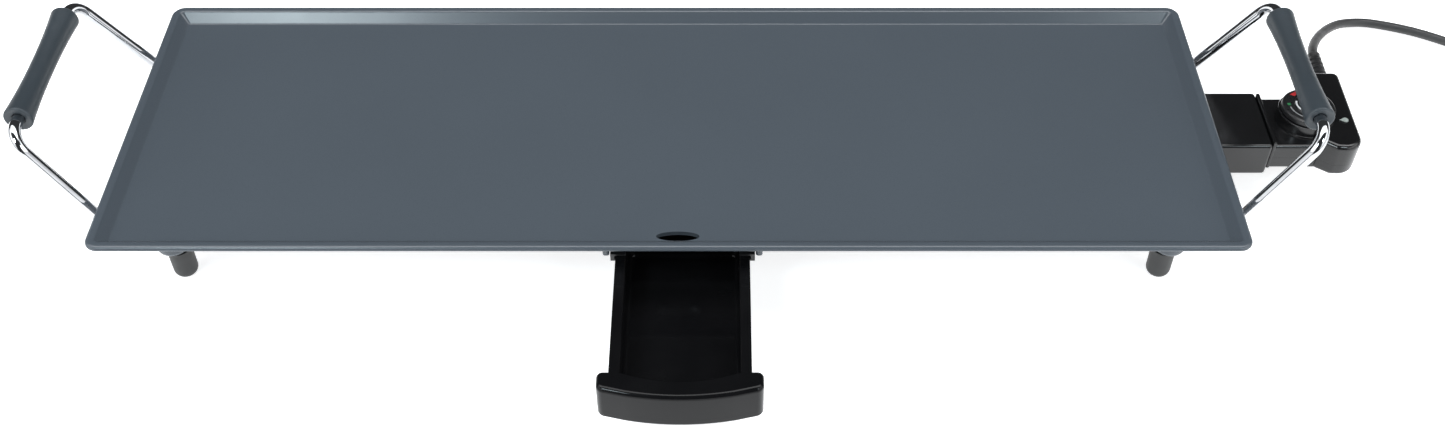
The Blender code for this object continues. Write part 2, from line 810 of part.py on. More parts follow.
def case_half(name, low, high):
    """The part of the hollow control case between two heights."""
    neck_low = INLET_Y - NECK_HALF_WIDTH
    neck_high = INLET_Y + NECK_HALF_WIDTH
    case = block(name, (NECK_START_X, neck_low, NECK_BOTTOM), (0.430, neck_high, NECK_TOP), 0.0022)
    body = round_edges(slab("body", case_outline(), CASE_BOTTOM, CASE_TOP), 0.0024, 3)
    turret = round_edges(
        rod("turret", TURRET_RADIUS, (DIAL_X, DIAL_Y, -0.032), (DIAL_X, DIAL_Y, TURRET_TOP), 40),
        0.0010,
    )
    collar = block(
        "collar",
        (COLLAR_X - 0.0012, neck_low - 0.0005, NECK_BOTTOM + 0.0004),
        (COLLAR_X + 0.0012, neck_high + 0.0008, NECK_TOP + 0.0035),
        0.0006,
    )
    combine(case, [body, turret, collar], "UNION")

    wall = CASE_WALL
    hollow = [
        block("neck_hollow", (NECK_START_X + wall, neck_low + wall, NECK_BOTTOM + wall),
              (0.428, neck_high - wall, NECK_TOP - wall)),
        slab("body_hollow", case_outline(wall), CASE_BOTTOM + wall, CASE_TOP - wall),
        rod("turret_hollow", TURRET_RADIUS - wall, (DIAL_X, DIAL_Y, -0.030),
            (DIAL_X, DIAL_Y, TURRET_TOP - wall)),
        rod("spindle_hole", 0.0030, (DIAL_X, DIAL_Y, -0.03), (DIAL_X, DIAL_Y, 0)),
        rod("lens_hole", 0.0015, (LENS_X, LENS_Y, -0.03), (LENS_X, LENS_Y, 0), 16),
        rod("relief_hole", 0.0048, *[(RELIEF_X, CASE_REAR_Y + reach, RELIEF_Z) for reach in (-0.01, 0.01)]),
        rod("probe_hole", PROBE_RADIUS + GAP, (0.33, INLET_Y, CONTACT_Z), (0.345, INLET_Y, CONTACT_Z)),
    ]
    for y in pins_at().values():
        hollow.append(rod("contact_hole", PIN_RADIUS + 0.0007, (0.33, y, CONTACT_Z), (0.345, y, CONTACT_Z)))
    if high < CASE_TOP:
        hollow += [
            rod("screw_hole", 0.0020, (x, y, CASE_BOTTOM - 0.01), (x, y, CASE_BOTTOM + 0.01), 16)
            for x, y in case_screws_at().values()
        ]
    combine(case, hollow, "DIFFERENCE")
    beyond = 0.1
    cutter = block(
        "half",
        (0.3, -0.1, high if high < CASE_TOP else low - beyond),
        (0.5, 0.2, high + beyond if high < CASE_TOP else low),
    )
    combine(case, [cutter], "DIFFERENCE")
    return case


def case_screws_at():
    return {"rear": (0.4460, 0.0565), "front": (0.4385, -0.0020)}


def probe_rod():
    length = 0.398 - PROBE_TIP_X
    profile = [
        (0, length),
        (PROBE_RADIUS, length),
        (PROBE_RADIUS, 0.0015),
        (PROBE_RADIUS - 0.0012, 0),
        (0, 0),
    ]
    return turned("probe_rod", profile, (PROBE_TIP_X, INLET_Y, CONTACT_Z), along="X", steps=20)


def contact_socket(name, y):
    """A sprung sleeve that grips a terminal pin."""
    length = 0.0300
    inner = PIN_RADIUS + 0.0004
    outer = inner + 0.0009
    profile = [(inner, length), (outer, length), (outer, 0), (inner, 0)]
    place = (NECK_START_X + CASE_WALL + GAP, y, CONTACT_Z)
    return turned(name, profile, place, along="X", steps=20, looped=True)


def thermostat_switch():
    """The bimetal snap switch on the end of the probe, under the dial."""
    low = (0.3985, DIAL_Y - 0.0110, NECK_BOTTOM + CASE_WALL + 0.0008)
    high = (0.4300, DIAL_Y + 0.0090, CONTACT_Z + 0.0036)
    return block("thermostat_switch", low, high, 0.0008)


def dial_spindle():
    low = (DIAL_X, DIAL_Y, CONTACT_Z + 0.0036 + GAP)
    high = (DIAL_X, DIAL_Y, TURRET_TOP + 0.0035)
    spindle = rod("dial_spindle", 0.0026, (0, 0, low[2]), (0, 0, high[2]), 20)
    return spindle


def control_dial():
    """A disc with a raised grip across it, bored for its spindle. Its origin is on its axis."""
    bottom = TURRET_TOP + GAP
    disc = [
        (0, bottom + 0.0052),
        (0.0094, bottom + 0.0052),
        (0.0101, bottom + 0.0044),
        (0.0160, bottom + 0.0040),
        (DIAL_RADIUS - 0.0006, bottom + 0.0034),
        (DIAL_RADIUS, bottom + 0.0026),
        (DIAL_RADIUS, bottom),
        (0, bottom),
    ]
    dial = turned("control_dial", disc, (0, 0, 0), steps=48)
    bar = block("bar", (-0.0032, -0.0125, bottom + 0.003), (0.0032, 0.0125, bottom + 0.0115), 0.0012)
    combine(dial, [bar], "UNION")
    combine(dial, [rod("bore", 0.0029, (0, 0, bottom - 0.01), (0, 0, bottom + 0.0040), 20)], "DIFFERENCE")
    return dial


def teardrop(radius, length):
    """A drop with its point towards -X and its round end at the origin."""
    points = [(-length, 0, 0)]
    for step in range(11):
        angle = radians(-110 + 22 * step)
        points.append((radius * cos(angle), radius * sin(angle), 0))
    return points


def pilot_lens():
    """The drop-shaped window of the pilot lamp, with a stem through the case."""
    base = CASE_TOP + GAP
    lens = slab("pilot_lens", teardrop(0.0021, 0.0038), base, base + 0.0006)
    lens.location += Vector((LENS_X, LENS_Y, 0))
    stem = rod("stem", 0.0012, (LENS_X, LENS_Y, base - 0.004), (LENS_X, LENS_Y, base + 0.0003), 16)
    combine(lens, [stem], "UNION")
    return lens


def pilot_lamp():
    bottom = (LENS_X, LENS_Y, CASE_TOP - 0.0160)
    top = (LENS_X, LENS_Y, CASE_TOP - 0.0045)
    return rod("pilot_lamp", 0.0024, bottom, top, 16)


def strain_relief():
    """A ribbed sleeve that tapers from the case to the cord."""
    bore = CORD_RADIUS + GAP
    profile = [(bore, RELIEF_LENGTH), (0.0043, RELIEF_LENGTH)]
    ribs = 5
    first = 0.0040
    pitch = (RELIEF_LENGTH - first - 0.004) / ribs
    for rib in range(ribs, 0, -1):
        top = first + rib * pitch
        radius = 0.0062 - 0.0019 * rib / (ribs + 1)
        profile += [
            (radius, top - 0.0006),
            (radius, top - 0.5 * pitch),
            (radius - 0.0010, top - 0.55 * pitch),
            (radius - 0.0010, top - pitch),
        ]
    profile += [(0.0062, first - 0.0006), (0.0062, 0.0011), (0.0041, 0.0011), (0.0041, -0.0034)]
    profile += [(0.0051, -0.0034), (0.0051, -0.0054), (bore, -0.0054)]
    place = (RELIEF_X, CASE_REAR_Y, RELIEF_Z)
    relief = turned("strain_relief", profile, place, along="Y", steps=24, looped=True)
    relief.rotation_euler.z = -RELIEF_TURN
    return relief


# The cord, its coil and its plug, in the row frame


def power_cord():
    return tube("power_cord", smooth_route(CORD_ROUTE, CORD_STEP), CORD_RADIUS, 2)


def cord_tail():
    return tube("cord_tail", smooth_route(TAIL_ROUTE, CORD_STEP), CORD_RADIUS, 2)


def coil_section():
    """Half the coil's width across its turns, and its height."""
    return TURNS_ACROSS * CORD_RADIUS, 2 * TURNS_HIGH * CORD_RADIUS


def cord_coil():
    half_width, height = coil_section()
    low = COIL_LOWEST
    high = COIL_LOWEST + height
    inner = COIL_MIDDLE_RADIUS - half_width
    outer = COIL_MIDDLE_RADIUS + half_width
    edge = CORD_RADIUS * 0.6
    profile = [
        (inner + edge, high),
        (outer - edge, high),
        (outer, high - edge),
        (outer, low + edge),
        (outer - edge, low),
        (inner + edge, low),
        (inner, low + edge),
        (inner, high - edge),
    ]
    return turned("cord_coil", profile, (COIL_X, COIL_Y, 0), steps=40, looped=True)


def cord_tie():
    """A strap round the turns on the far side of the coil from the plug."""
    half_width, height = coil_section()
    middle = COIL_X - COIL_MIDDLE_RADIUS
    slack = 0.0005
    low = (middle - half_width - slack, COIL_Y - 0.003, COIL_LOWEST - 0.0004)
    high = (middle + half_width + slack, COIL_Y + 0.003, COIL_LOWEST + height + 0.0004)
    sheet = Vector((0.0010, 0, 0.0010))
    strap = block("cord_tie", Vector(low) - sheet, Vector(high) + sheet)
    hole = block("hole", Vector(low) - Vector((0, 0.01, 0)), Vector(high) + Vector((0, 0.01, 0)))
    combine(strap, [hole], "DIFFERENCE")
    return strap


def plug_body():
    """A moulded two-pin plug lying on its side, its cord end towards the coil."""
    bore = CORD_RADIUS + GAP
    length = PLUG_LENGTH
    profile = [
        (0, length),
        (0.0058, length),
        (0.0070, length - 0.009),
        (0.0105, length - 0.014),
        (PLUG_RADIUS - 0.0012, length - 0.020),
        (PLUG_RADIUS, length - 0.023),
        (PLUG_RADIUS, 0.0012),
        (PLUG_RADIUS - 0.0012, 0),
        (0, 0),
    ]
    body = turned("plug_body", profile, (PLUG_X, PLUG_Y, PLUG_Z), along="Y", steps=36)
    cord_low = (PLUG_X, PLUG_Y + length - 0.008, PLUG_Z)
    cord_high = (PLUG_X, PLUG_Y + length + 0.01, PLUG_Z)
    holes = [rod("cord_hole", bore, cord_low, cord_high)]
    for side in (-1, 1):
        pin_x = PLUG_X + side * PLUG_PIN_OFFSET
        pin_end = (pin_x, PLUG_Y + 0.008, PLUG_Z)
        holes.append(rod("pin_hole", 0.0027, pin_end, (pin_x, PLUG_Y - 0.01, PLUG_Z)))
    combine(body, holes, "DIFFERENCE")
    return body


def plug_pin(name, side):
    profile = [(0, 0.0075), (0.0024, 0.0075), (0.0024, -0.0180), (0.0012, -0.0190), (0, -0.0190)]
    place = (PLUG_X + side * PLUG_PIN_OFFSET, PLUG_Y, PLUG_Z)
    return turned(name, profile, place, along="Y", steps=16)


def build_base(frame):
    dress(griddle_plate(), "slate_coating", frame)
    for side, hand in ((-1, "left"), (1, "right")):
        dress(handle_wire(f"handle_wire_{hand}", side), "chrome", frame)
        dress(handle_grip(f"handle_grip_{hand}", side), "grey_grip", frame)
        for end, place in ((-1, "front"), (1, "rear")):
            dress(foot(f"foot_{place}_{hand}", side, end), "black_plastic", frame)
            dress(handle_set_screw(f"handle_screw_{place}_{hand}", side, end), "steel", frame)
        dress(tray_rail(f"tray_rail_{hand}", side), "black_plastic", frame)
        for place, spot in rail_screws_at(side).items():
            screw = pan_screw(f"rail_screw_{place}_{hand}", spot, RAIL_TOP, RAIL_SHEET, 0.0035)
            dress(screw, "steel", frame)
    element = tube("heating_element", filleted(element_path(), steps=6), ELEMENT_RADIUS, 2)
    dress(element, "steel", frame)
    for place, x in clips_at().items():
        dress(element_clip(f"element_clip_{place}", x), "steel", frame)
        dress(pan_screw(f"clip_screw_{place}", (x, 0), CLIP_TOP, CLIP_SHEET, 0.0035), "steel", frame)
    for place, y in pins_at().items():
        dress(terminal_pin(f"terminal_pin_{place}", y), "steel", frame)
        dress(terminal_insulator(f"terminal_insulator_{place}", y), "ceramic", frame)
    dress(probe_sleeve(), "brass", frame)
    dress(connector_shroud(), "black_plastic", frame)
    for place, spot in shroud_screws_at().items():
        dress(pan_screw(f"shroud_screw_{place}", spot, SHROUD_TOP, SHROUD_WALL, 0.0035), "steel", frame)
    dress(earth_blade(), "brass", frame)


def build_control(slide, dial_axis):
    top = case_half("control_case_top", CONTACT_Z + GAP / 2, CASE_TOP)
    bottom = case_half("control_case_bottom", CASE_BOTTOM, CONTACT_Z - GAP / 2)
    dress(top, "black_plastic", slide)
    dress(bottom, "black_plastic", slide)
    for place, spot in case_screws_at().items():
        screw = pan_screw(f"case_screw_{place}", spot, CASE_BOTTOM + CASE_WALL, CASE_WALL, 0.0080)
        dress(screw, "steel", slide)
    dress(probe_rod(), "steel", slide)
    for place, y in pins_at().items():
        dress(contact_socket(f"contact_socket_{place}", y), "brass", slide)
    dress(thermostat_switch(), "ceramic", slide)
    dress(pilot_lens(), "lens", slide)
    dress(pilot_lamp(), "lens", slide)
    dress(strain_relief(), "cord_rubber", slide)
    dress(dial_spindle(), "steel", dial_axis)
    dress(control_dial(), "black_plastic", dial_axis)


def build_cord():
    dress(power_cord(), "cord_rubber")
    dress(cord_coil(), "cord_rubber")
    dress(cord_tail(), "cord_rubber")
    dress(cord_tie(), "black_plastic")
    dress(plug_body(), "black_plastic")
    for side, hand in ((-1, "left"), (1, "right")):
        dress(plug_pin(f"plug_pin_{hand}", side), "steel")


def build():
    clear_scene()
    make_paints()
    frame = empty("plate_frame", (PLATE_X, PLATE_Y, RIM_HEIGHT))
    tray_slide = empty("tray_slide", (0, 0, 0), frame)
    control_slide = empty("control_slide", (0, 0, 0), frame)
    dial_axis = empty("dial_axis", (DIAL_X, DIAL_Y, 0), control_slide)
    build_base(frame)
    dress(drip_tray(), "gloss_black", tray_slide)
    build_control(control_slide, dial_axis)
    build_cord()


build()
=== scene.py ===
from math import cos, pi, radians, sin, tan

import bmesh
import bpy
from mathutils import Euler, Matrix, Vector


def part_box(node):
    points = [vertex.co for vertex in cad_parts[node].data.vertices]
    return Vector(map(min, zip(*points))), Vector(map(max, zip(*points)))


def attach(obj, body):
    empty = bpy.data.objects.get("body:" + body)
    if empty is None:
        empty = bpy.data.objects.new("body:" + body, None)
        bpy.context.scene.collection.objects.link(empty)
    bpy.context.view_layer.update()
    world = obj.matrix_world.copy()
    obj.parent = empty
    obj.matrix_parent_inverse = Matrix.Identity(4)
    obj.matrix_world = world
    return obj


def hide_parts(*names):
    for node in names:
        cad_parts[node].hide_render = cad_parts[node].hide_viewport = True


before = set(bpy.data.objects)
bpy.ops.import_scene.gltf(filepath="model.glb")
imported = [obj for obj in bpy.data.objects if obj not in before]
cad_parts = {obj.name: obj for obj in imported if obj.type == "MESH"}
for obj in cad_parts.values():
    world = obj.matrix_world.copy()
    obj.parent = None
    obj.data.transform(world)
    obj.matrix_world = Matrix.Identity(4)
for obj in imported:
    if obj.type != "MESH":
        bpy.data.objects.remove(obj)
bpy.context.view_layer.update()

# Places are measured from HOME: the middle of the cooking plate, at the height of its rim.
plate_low, plate_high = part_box("griddle_plate")
HOME = Vector(((plate_low.x + plate_high.x) / 2, (plate_low.y + plate_high.y) / 2, plate_high.z))

# Plate
HALF_LENGTH = (plate_high.x - plate_low.x) / 2
HALF_DEPTH = (plate_high.y - plate_low.y) / 2
CORNER_RADIUS = 0.009
FLOOR = -0.0065
UNDERSIDE = -0.0095
DRIP_X = 0.0052
DRIP_Y = -0.0990
DRIP_HALF_LENGTH = 0.0131
DRIP_HALF_WIDTH = 0.0039
CASTING_ROOT = UNDERSIDE + 0.001

# Legs and feet
LEG_X = 0.3145
LEG_Y = 0.0735
LEG_BOTTOM = -0.043
FOOT_X = 0.312
FOOT_RADIUS = 0.0078
FOOT_EDGE = 0.0048
STUD_TOP = -0.0345
SOCKET_Z = -0.0275
SET_SCREW_X = 0.3215
LEGS = [(side, end) for side in (-1, 1) for end in (-1, 1)]

# Handles
GRIP_X = 0.3935
GRIP_Z = 0.043
GRIP_HALF = 0.049
GRIP_END_RADIUS = 0.0089
GRIP_WAIST_RADIUS = 0.0071
WIRE_RADIUS = 0.00375
WIRE_BEND = 0.014
WIRE_CORNER_Y = 0.0655
WIRE_END_X = 0.3168
HEEL_X = 0.3487

# Element, terminals and shroud
ELEMENT_RADIUS = 0.003
ELEMENT_Z = UNDERSIDE - 0.0003 - ELEMENT_RADIUS
RUN_PITCH = 0.044
ELEMENT_LEFT = -0.285
CLIP_TOP = ELEMENT_Z - ELEMENT_RADIUS - 0.0003
CLIPS_AT = {"left": -0.215, "middle": -0.075, "right": 0.125}
POST_RADIUS = 0.0040
POST_GAP = 0.0003
INLET_Y = 0.02075
CONTACT_Z = -0.0328
PIN_SPACING = 0.022
PINS_AT = {"front": INLET_Y - PIN_SPACING / 2, "rear": INLET_Y + PIN_SPACING / 2}
PROBE_TIP_X = 0.266
SHROUD_BACK_X = 0.3325
SHROUD_MOUTH_X = 0.3927
SHROUD_HALF_WIDTH = 0.02675
SHROUD_TOP = -0.020
SHROUD_BOTTOM = -0.0456
SHROUD_WALL = 0.0022
SHROUD_SCREWS_AT = {"front": (0.3255, INLET_Y - 0.0195), "rear": (0.3255, INLET_Y + 0.0195)}
EAR_HALF = 0.0055

# Control
NECK_START_X = 0.3395
NECK_HALF_WIDTH = 0.02405
NECK_TOP = -0.0228
NECK_BOTTOM = -0.0424
COLLAR_X = 0.3942
CASE_RIGHT_X = 0.4531
CASE_TAPER = 0.0026
CASE_REAR_Y = 0.0650
CASE_TOP = -0.0165
CASE_BOTTOM = -0.0420
CASE_WALL = 0.002
CASE_SCREWS_AT = {"rear": (0.4460, 0.0565), "front": (0.4385, -0.0020)}
SPLIT_GAP = 0.00004
DIAL_X = 0.4205
DIAL_Y = 0.0230
DIAL_RADIUS = 0.0175
TURRET_RADIUS = 0.0189
TURRET_TOP = -0.0145
DIAL_BOTTOM = TURRET_TOP + 0.0003
PRINT_THICKNESS = 0.00012
LENS_X = 0.4438
LENS_Y = 0.0152
LENS_RADIUS = 0.0021
LENS_POINT = 0.0038
RELIEF_X = 0.4452
RELIEF_Z = -0.031
RELIEF_LENGTH = 0.0335
RELIEF_TURN = radians(6.5)
RELIEF_RIBS = 5

# Drip tray
TRAY_X = 0.008
TRAY_HALF_WIDTH = 0.041
TRAY_FLANGE = 0.0067
TRAY_TOP = -0.0181
TRAY_BOTTOM = -0.0445
TRAY_BACK_Y = -0.080
TRAY_WALL = 0.0018
TRAY_BOW = 0.008
FACE_HALF_WIDTH = 0.0478
FACE_FRONT_Y = -0.2125
FACE_WING_Y = -0.1925
FACE_BOW = 0.007
RAIL_FRONT_Y = -0.105
RAIL_TOP = ELEMENT_Z - ELEMENT_RADIUS - 0.0004
RAIL_SCREW_X = 0.048
RAIL_SCREWS_Y = (-RUN_PITCH, 0.0)
RIB_X = 0.04655
RIB_HALF_WIDTH = 0.0021

# Cord, coil and plug, in the world's own coordinates
CORD_RADIUS = 0.00325
CORD_ROUTE = [
    (0.4220, 0.1324, 0.0350), (0.4236, 0.1470, 0.0349), (0.4281, 0.1610, 0.0310),
    (0.4378, 0.1793, 0.0240), (0.4510, 0.1981, 0.0160), (0.4648, 0.2125, 0.0095),
    (0.4760, 0.2195, 0.0058), (0.4900, 0.2226, 0.0036), (0.5050, 0.2194, 0.0034),
    (0.5250, 0.2120, 0.0034), (0.5448, 0.2010, 0.0034), (0.5640, 0.1885, 0.0034),
    (0.5830, 0.1788, 0.0034), (0.5985, 0.1736, 0.0034), (0.6130, 0.1696, 0.0034),
    (0.6255, 0.1660, 0.0034),
]
COIL_X = 0.615
COIL_Y = 0.122
COIL_START = 64
COIL_OUTER = 0.0447
COIL_PITCH = 0.0066
COIL_TURNS = 5
COIL_CLIMB = 110
LAYER_LOW_Z = 0.0034
LAYER_HIGH_Z = LAYER_LOW_Z + 2 * CORD_RADIUS + 0.0002
TIE_LIFT = 0.0012
TIE_HALF_WIDTH = 0.003
TIE_THICKNESS = 0.0009
PLUG_X = 0.6600
PLUG_Y = 0.0290
PLUG_RADIUS = 0.0185
PLUG_LENGTH = 0.036
PLUG_Z = PLUG_RADIUS + 0.0005
PLUG_PIN_OFFSET = 0.0095
TAIL_ROUTE = [
    (0.6608, 0.1015, 0.0112),
    (0.6612, 0.0890, 0.0135),
    (0.6608, 0.0760, 0.0170),
    (0.6600, 0.0650, 0.0190),
    (0.6600, 0.0610, 0.0190),
]

# Studio light. A limit is an axis, with where on it the light is out and where it is full
DARK_ROOM = 0.05
LOW_WINDOWS = (("X both", 0.38, 0.54), ("Y", 0.10, -0.10), ("Z", 0.04, 0.10), ("Z", 0.36, 0.24))
WINDOWS = (("X both", 0.36, 0.60), ("Y", 0.30, 0.05), ("Z", 0.28, 0.40), ("Z", 0.72, 0.56))
CEILING = (("X both", 0.75, 0.55), ("Y", -0.16, -0.04), ("Y", 0.36, 0.24), ("Z", 0.0, 0.2))
LIGHTS = ((LOW_WINDOWS, 1.5), (WINDOWS, 2.6), (CEILING, 5.2))
FLOOR_GLOW = 0.75
FLOOR_HALF = 8.0
PANEL_COLOUR = (0.86, 1.0, 1.06)
PANEL_AIM = Vector((0, 0.05, 0.04))
PANELS = {
    "left_panel": ((-0.86, -1.15, 1.62), (0.36, 0.44), 12),
    "right_panel": ((1.08, -1.18, 1.52), (0.30, 0.50), 5),
}

# Camera, its place measured from HOME
CAMERA_PLACE = Vector((0.0298, -0.7387, 0.6758))
CAMERA_TILT = radians(43.85)
CAMERA_LENS = 38.52
CAMERA_SHIFT = 0.0028


# Curves and outlines


def spline(points, per):
    """A smooth line through the points, with this many steps between each two."""
    points = [Vector(point) for point in points]
    ends = [2 * points[0] - points[1], *points, 2 * points[-1] - points[-2]]
    line = [points[0]]
    for index in range(1, len(ends) - 2):
        before, start, end, after = ends[index - 1 : index + 3]
        for step in range(1, per + 1):
            share = step / per
            bend = 2 * before - 5 * start + 4 * end - after
            twist = 3 * start - before - 3 * end + after
            line.append(start + share / 2 * ((end - before) + share * (bend + share * twist)))
    return line


def filleted(corners, closed=False, steps=12):
    """Points along straight runs, with an arc of its own bend radius at each corner."""
    points = []
    count = len(corners)
    for index, (corner, radius) in enumerate(corners):
        corner = Vector(corner)
        if radius == 0 or (not closed and index in (0, count - 1)):
            points.append(corner)
            continue
        back = (Vector(corners[index - 1][0]) - corner).normalized()
        ahead = (Vector(corners[(index + 1) % count][0]) - corner).normalized()
        half = back.angle(ahead) / 2
        centre = corner + (back + ahead).normalized() * radius / sin(half)
        start = corner + back * radius / tan(half) - centre
        end = corner + ahead * radius / tan(half) - centre
        turn = start.angle(end)
        for step in range(steps + 1):
            share = step / steps
            point = (start * sin((1 - share) * turn) + end * sin(share * turn)) / sin(turn)
            points.append(centre + point)
    return points


def plan(corners, steps=12, closed=True):
    """An outline in plan, from (x, y, bend radius) corners."""
    line = filleted([((x, y, 0), bend) for x, y, bend in corners], closed, steps)
    return [(point.x, point.y) for point in line]


def rectangle(low_x, low_y, high_x, high_y, radius):
    places = ((low_x, low_y), (high_x, low_y), (high_x, high_y), (low_x, high_y))
    return [(x, y, radius) for x, y in places]


def divided(ring, longest):
    """The closed outline with its long sides cut into lengths no longer than this."""
    result = []
    for (x, y), (next_x, next_y) in zip(ring, ring[1:] + ring[:1]):
        count = max(1, round(((next_x - x) ** 2 + (next_y - y) ** 2) ** 0.5 / longest))
        for step in range(count):
            result.append((x + (next_x - x) * step / count, y + (next_y - y) * step / count))
    return result


def moved_in(ring, distance):
    """The anticlockwise outline moved inwards by a distance."""
    result = []
    for index, here in enumerate(ring):
        here = Vector(here)
        before = (here - Vector(ring[index - 1])).normalized()
        after = (Vector(ring[(index + 1) % len(ring)]) - here).normalized()
        normal = Vector((-before.y - after.y, before.x + after.x))
        normal *= 1 / (1 + before.dot(after))
        result.append(tuple(here + normal * distance))
    return result


def quarter(steps):
    """The angles of a quarter turn in equal steps, without the one it starts from."""
    return [pi / 2 * step / steps for step in range(1, steps + 1)]


def around(steps):
    return [2 * pi * step / steps for step in range(steps)]


def rounded_ends(low, high, low_radius, high_radius, steps=5):
    """The (inset, height) profile of an upright wall with both its edges rounded."""
    turns = [0, *quarter(steps)]
    lower = [(low_radius * (1 - sin(a)), low + low_radius * (1 - cos(a))) for a in turns]
    upper = [(high_radius * (1 - cos(a)), high - high_radius * (1 - sin(a))) for a in turns]
    return lower + upper


# Meshes


def from_bmesh(name, shape):
    bmesh.ops.remove_doubles(shape, verts=shape.verts, dist=1e-6)
    bmesh.ops.recalc_face_normals(shape, faces=shape.faces)
    mesh = bpy.data.meshes.new(name)
    shape.to_mesh(mesh)
    shape.free()
    obj = bpy.data.objects.new(name, mesh)
    bpy.context.scene.collection.objects.link(obj)
    return obj


def skinned(name, rings, closed=False):
    """A surface through rings of equally many points, filled at its ends or closed on itself."""
    shape = bmesh.new()
    rows = [[shape.verts.new(point) for point in ring] for ring in rings]
    count = len(rows[0])
    pairs = list(zip(rows, rows[1:]))
    if closed:
        pairs.append((rows[-1], rows[0]))
    else:
        shape.faces.new(list(reversed(rows[0])))
        shape.faces.new(rows[-1])
    for one, other in pairs:
        for index in range(count):
            following = (index + 1) % count
            shape.faces.new((one[index], one[following], other[following], other[index]))
    return from_bmesh(name, shape)


def loft(name, outline, profile):
    """An outline in plan carried through (inset, height) steps."""
    return skinned(name, [[(x, y, z) for x, y in moved_in(outline, inset)] for inset, z in profile])


def turned(name, profile, place, axis="Z", steps=48, closed=False):
    """A lathe-turned piece from (radius, height) pairs. One with a bore is closed on itself."""
    turn = Euler((-pi / 2, 0, 0)).to_matrix() if axis == "Y" else Matrix.Identity(3)
    rings = []
    for radius, height in profile:
        ring = [Vector((radius * cos(a), radius * sin(a), height)) for a in around(steps)]
        rings.append([turn @ point + Vector(place) for point in ring])
    return skinned(name, rings, closed)


def rod(radius, start, end, steps=32):
    """A plain round bar, to cut with or to join on."""
    start = Vector(start)
    end = Vector(end)
    shape = bmesh.new()
    turn = (end - start).to_track_quat("Z", "Y").to_matrix().to_4x4()
    bmesh.ops.create_cone(
        shape,
        cap_ends=True,
        segments=steps,
        radius1=radius,
        radius2=radius,
        depth=(end - start).length,
        matrix=Matrix.Translation((start + end) / 2) @ turn,
    )
    return from_bmesh("rod", shape)


def upright(radius, x, y, low, high, steps=32):
    return rod(radius, (x, y, low), (x, y, high), steps)


def along_x(radius, y, z, low, high):
    return rod(radius, (low, y, z), (high, y, z))


def along_y(radius, x, z, low, high, steps=32):
    return rod(radius, (x, low, z), (x, high, z), steps)


def block(name, low, high, rounding=0.0, steps=4, turn=0.0):
    """A box with all its edges rounded, turned about the upright line through its middle."""
    low = Vector(low)
    high = Vector(high)
    size = high - low
    place = Matrix.Translation((low + high) / 2) @ Matrix.Rotation(turn, 4, "Z")
    shape = bmesh.new()
    bmesh.ops.create_cube(shape, size=1, matrix=place @ Matrix.Diagonal((*size, 1)))
    if rounding:
        edges = shape.edges
        bmesh.ops.bevel(shape, geom=edges, offset=rounding, segments=steps, profile=0.5, affect="EDGES")
    return from_bmesh(name, shape)


def tube(name, points, radius, steps):
    """A round bar or cord along the points."""
    points = [Vector(point) for point in points]
    last = len(points) - 1
    ahead = [(points[min(i + 1, last)] - points[max(i - 1, 0)]).normalized() for i in range(last + 1)]
    side = ahead[0].orthogonal().normalized()
    rings = []
    for point, direction in zip(points, ahead):
        side = (side - direction * side.dot(direction)).normalized()
        other = direction.cross(side)
        rings.append([point + radius * (cos(a) * side + sin(a) * other) for a in around(steps)])
    return skinned(name, rings)


def worked(obj, helpers, operation):
    """Joins the helpers to the object, or cuts them from it, and leaves one plain mesh."""
    for helper in helpers:
        step = obj.modifiers.new("step", "BOOLEAN")
        step.operation = operation
        step.solver = "EXACT"
        step.object = helper
    bpy.context.view_layer.update()
    evaluated = obj.evaluated_get(bpy.context.evaluated_depsgraph_get())
    mesh = bpy.data.meshes.new_from_object(evaluated)
    obj.modifiers.clear()
    obj.data = mesh
    for helper in helpers:
        bpy.data.objects.remove(helper, do_unlink=True)
    return obj


def joined(obj, helpers):
    return worked(obj, helpers, "UNION")


def cut(obj, helpers):
    return worked(obj, helpers, "DIFFERENCE")


def shaded(obj, sharp=32, weighted=True):
    """Smooth faces that break at sharp edges, with flat faces kept flat."""
    for face in obj.data.polygons:
        face.use_smooth = True
    obj.data.set_sharp_from_angle(angle=radians(sharp))
    if weighted:
        normals = obj.modifiers.new("flat faces stay flat", "WEIGHTED_NORMAL")
        normals.keep_sharp = True


def softened(obj):
    soften = obj.modifiers.new("softened edges", "BEVEL")
    soften.width = 0.0002
    soften.segments = 2
    soften.limit_method = "ANGLE"
    soften.angle_limit = radians(45)


def painted(obj, paint):
    obj.data.materials.clear()
    obj.data.materials.append(PAINTS[paint])


def piece(obj, body, paint, slot, *nodes, sharp=32, weighted=True, home=True):
    """Puts a finished piece in its place, on its body and in the stead of its CAD nodes."""
    if home:
        obj.location = HOME
    shaded(obj, sharp, weighted)
    painted(obj, paint)
    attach(obj, body)
    if nodes:
        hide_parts(*nodes)
    return obj


# Materials


def finish_of(paint):
    return paint.node_tree.nodes["Principled BSDF"].inputs


def new_paint(name, **settings):
    paint = bpy.data.materials.new(name)
    paint.use_nodes = True
    for socket, value in settings.items():
        finish_of(paint)[socket.replace("_", " ")].default_value = value
    return paint


def node(paint, kind, **settings):
    made = paint.node_tree.nodes.new(kind)
    for name, value in settings.items():
        if hasattr(made, name):
            setattr(made, name, value)
        else:
            made.inputs[name.replace("_", " ")].default_value = value
    return made


def link(paint, start, end):
    paint.node_tree.links.new(start, end)


def noise(paint, scale, detail=3.0, rough=0.5, stretch=(1, 1, 1)):
    """Noise in the object's own coordinates, in metres, stretched."""
    coordinates = node(paint, "ShaderNodeTexCoord")
    mapping = node(paint, "ShaderNodeMapping", Scale=stretch)
    made = node(paint, "ShaderNodeTexNoise", Scale=scale, Detail=detail, Roughness=rough)
    link(paint, coordinates.outputs["Object"], mapping.inputs["Vector"])
    link(paint, mapping.outputs["Vector"], made.inputs["Vector"])
    return made.outputs["Fac"]


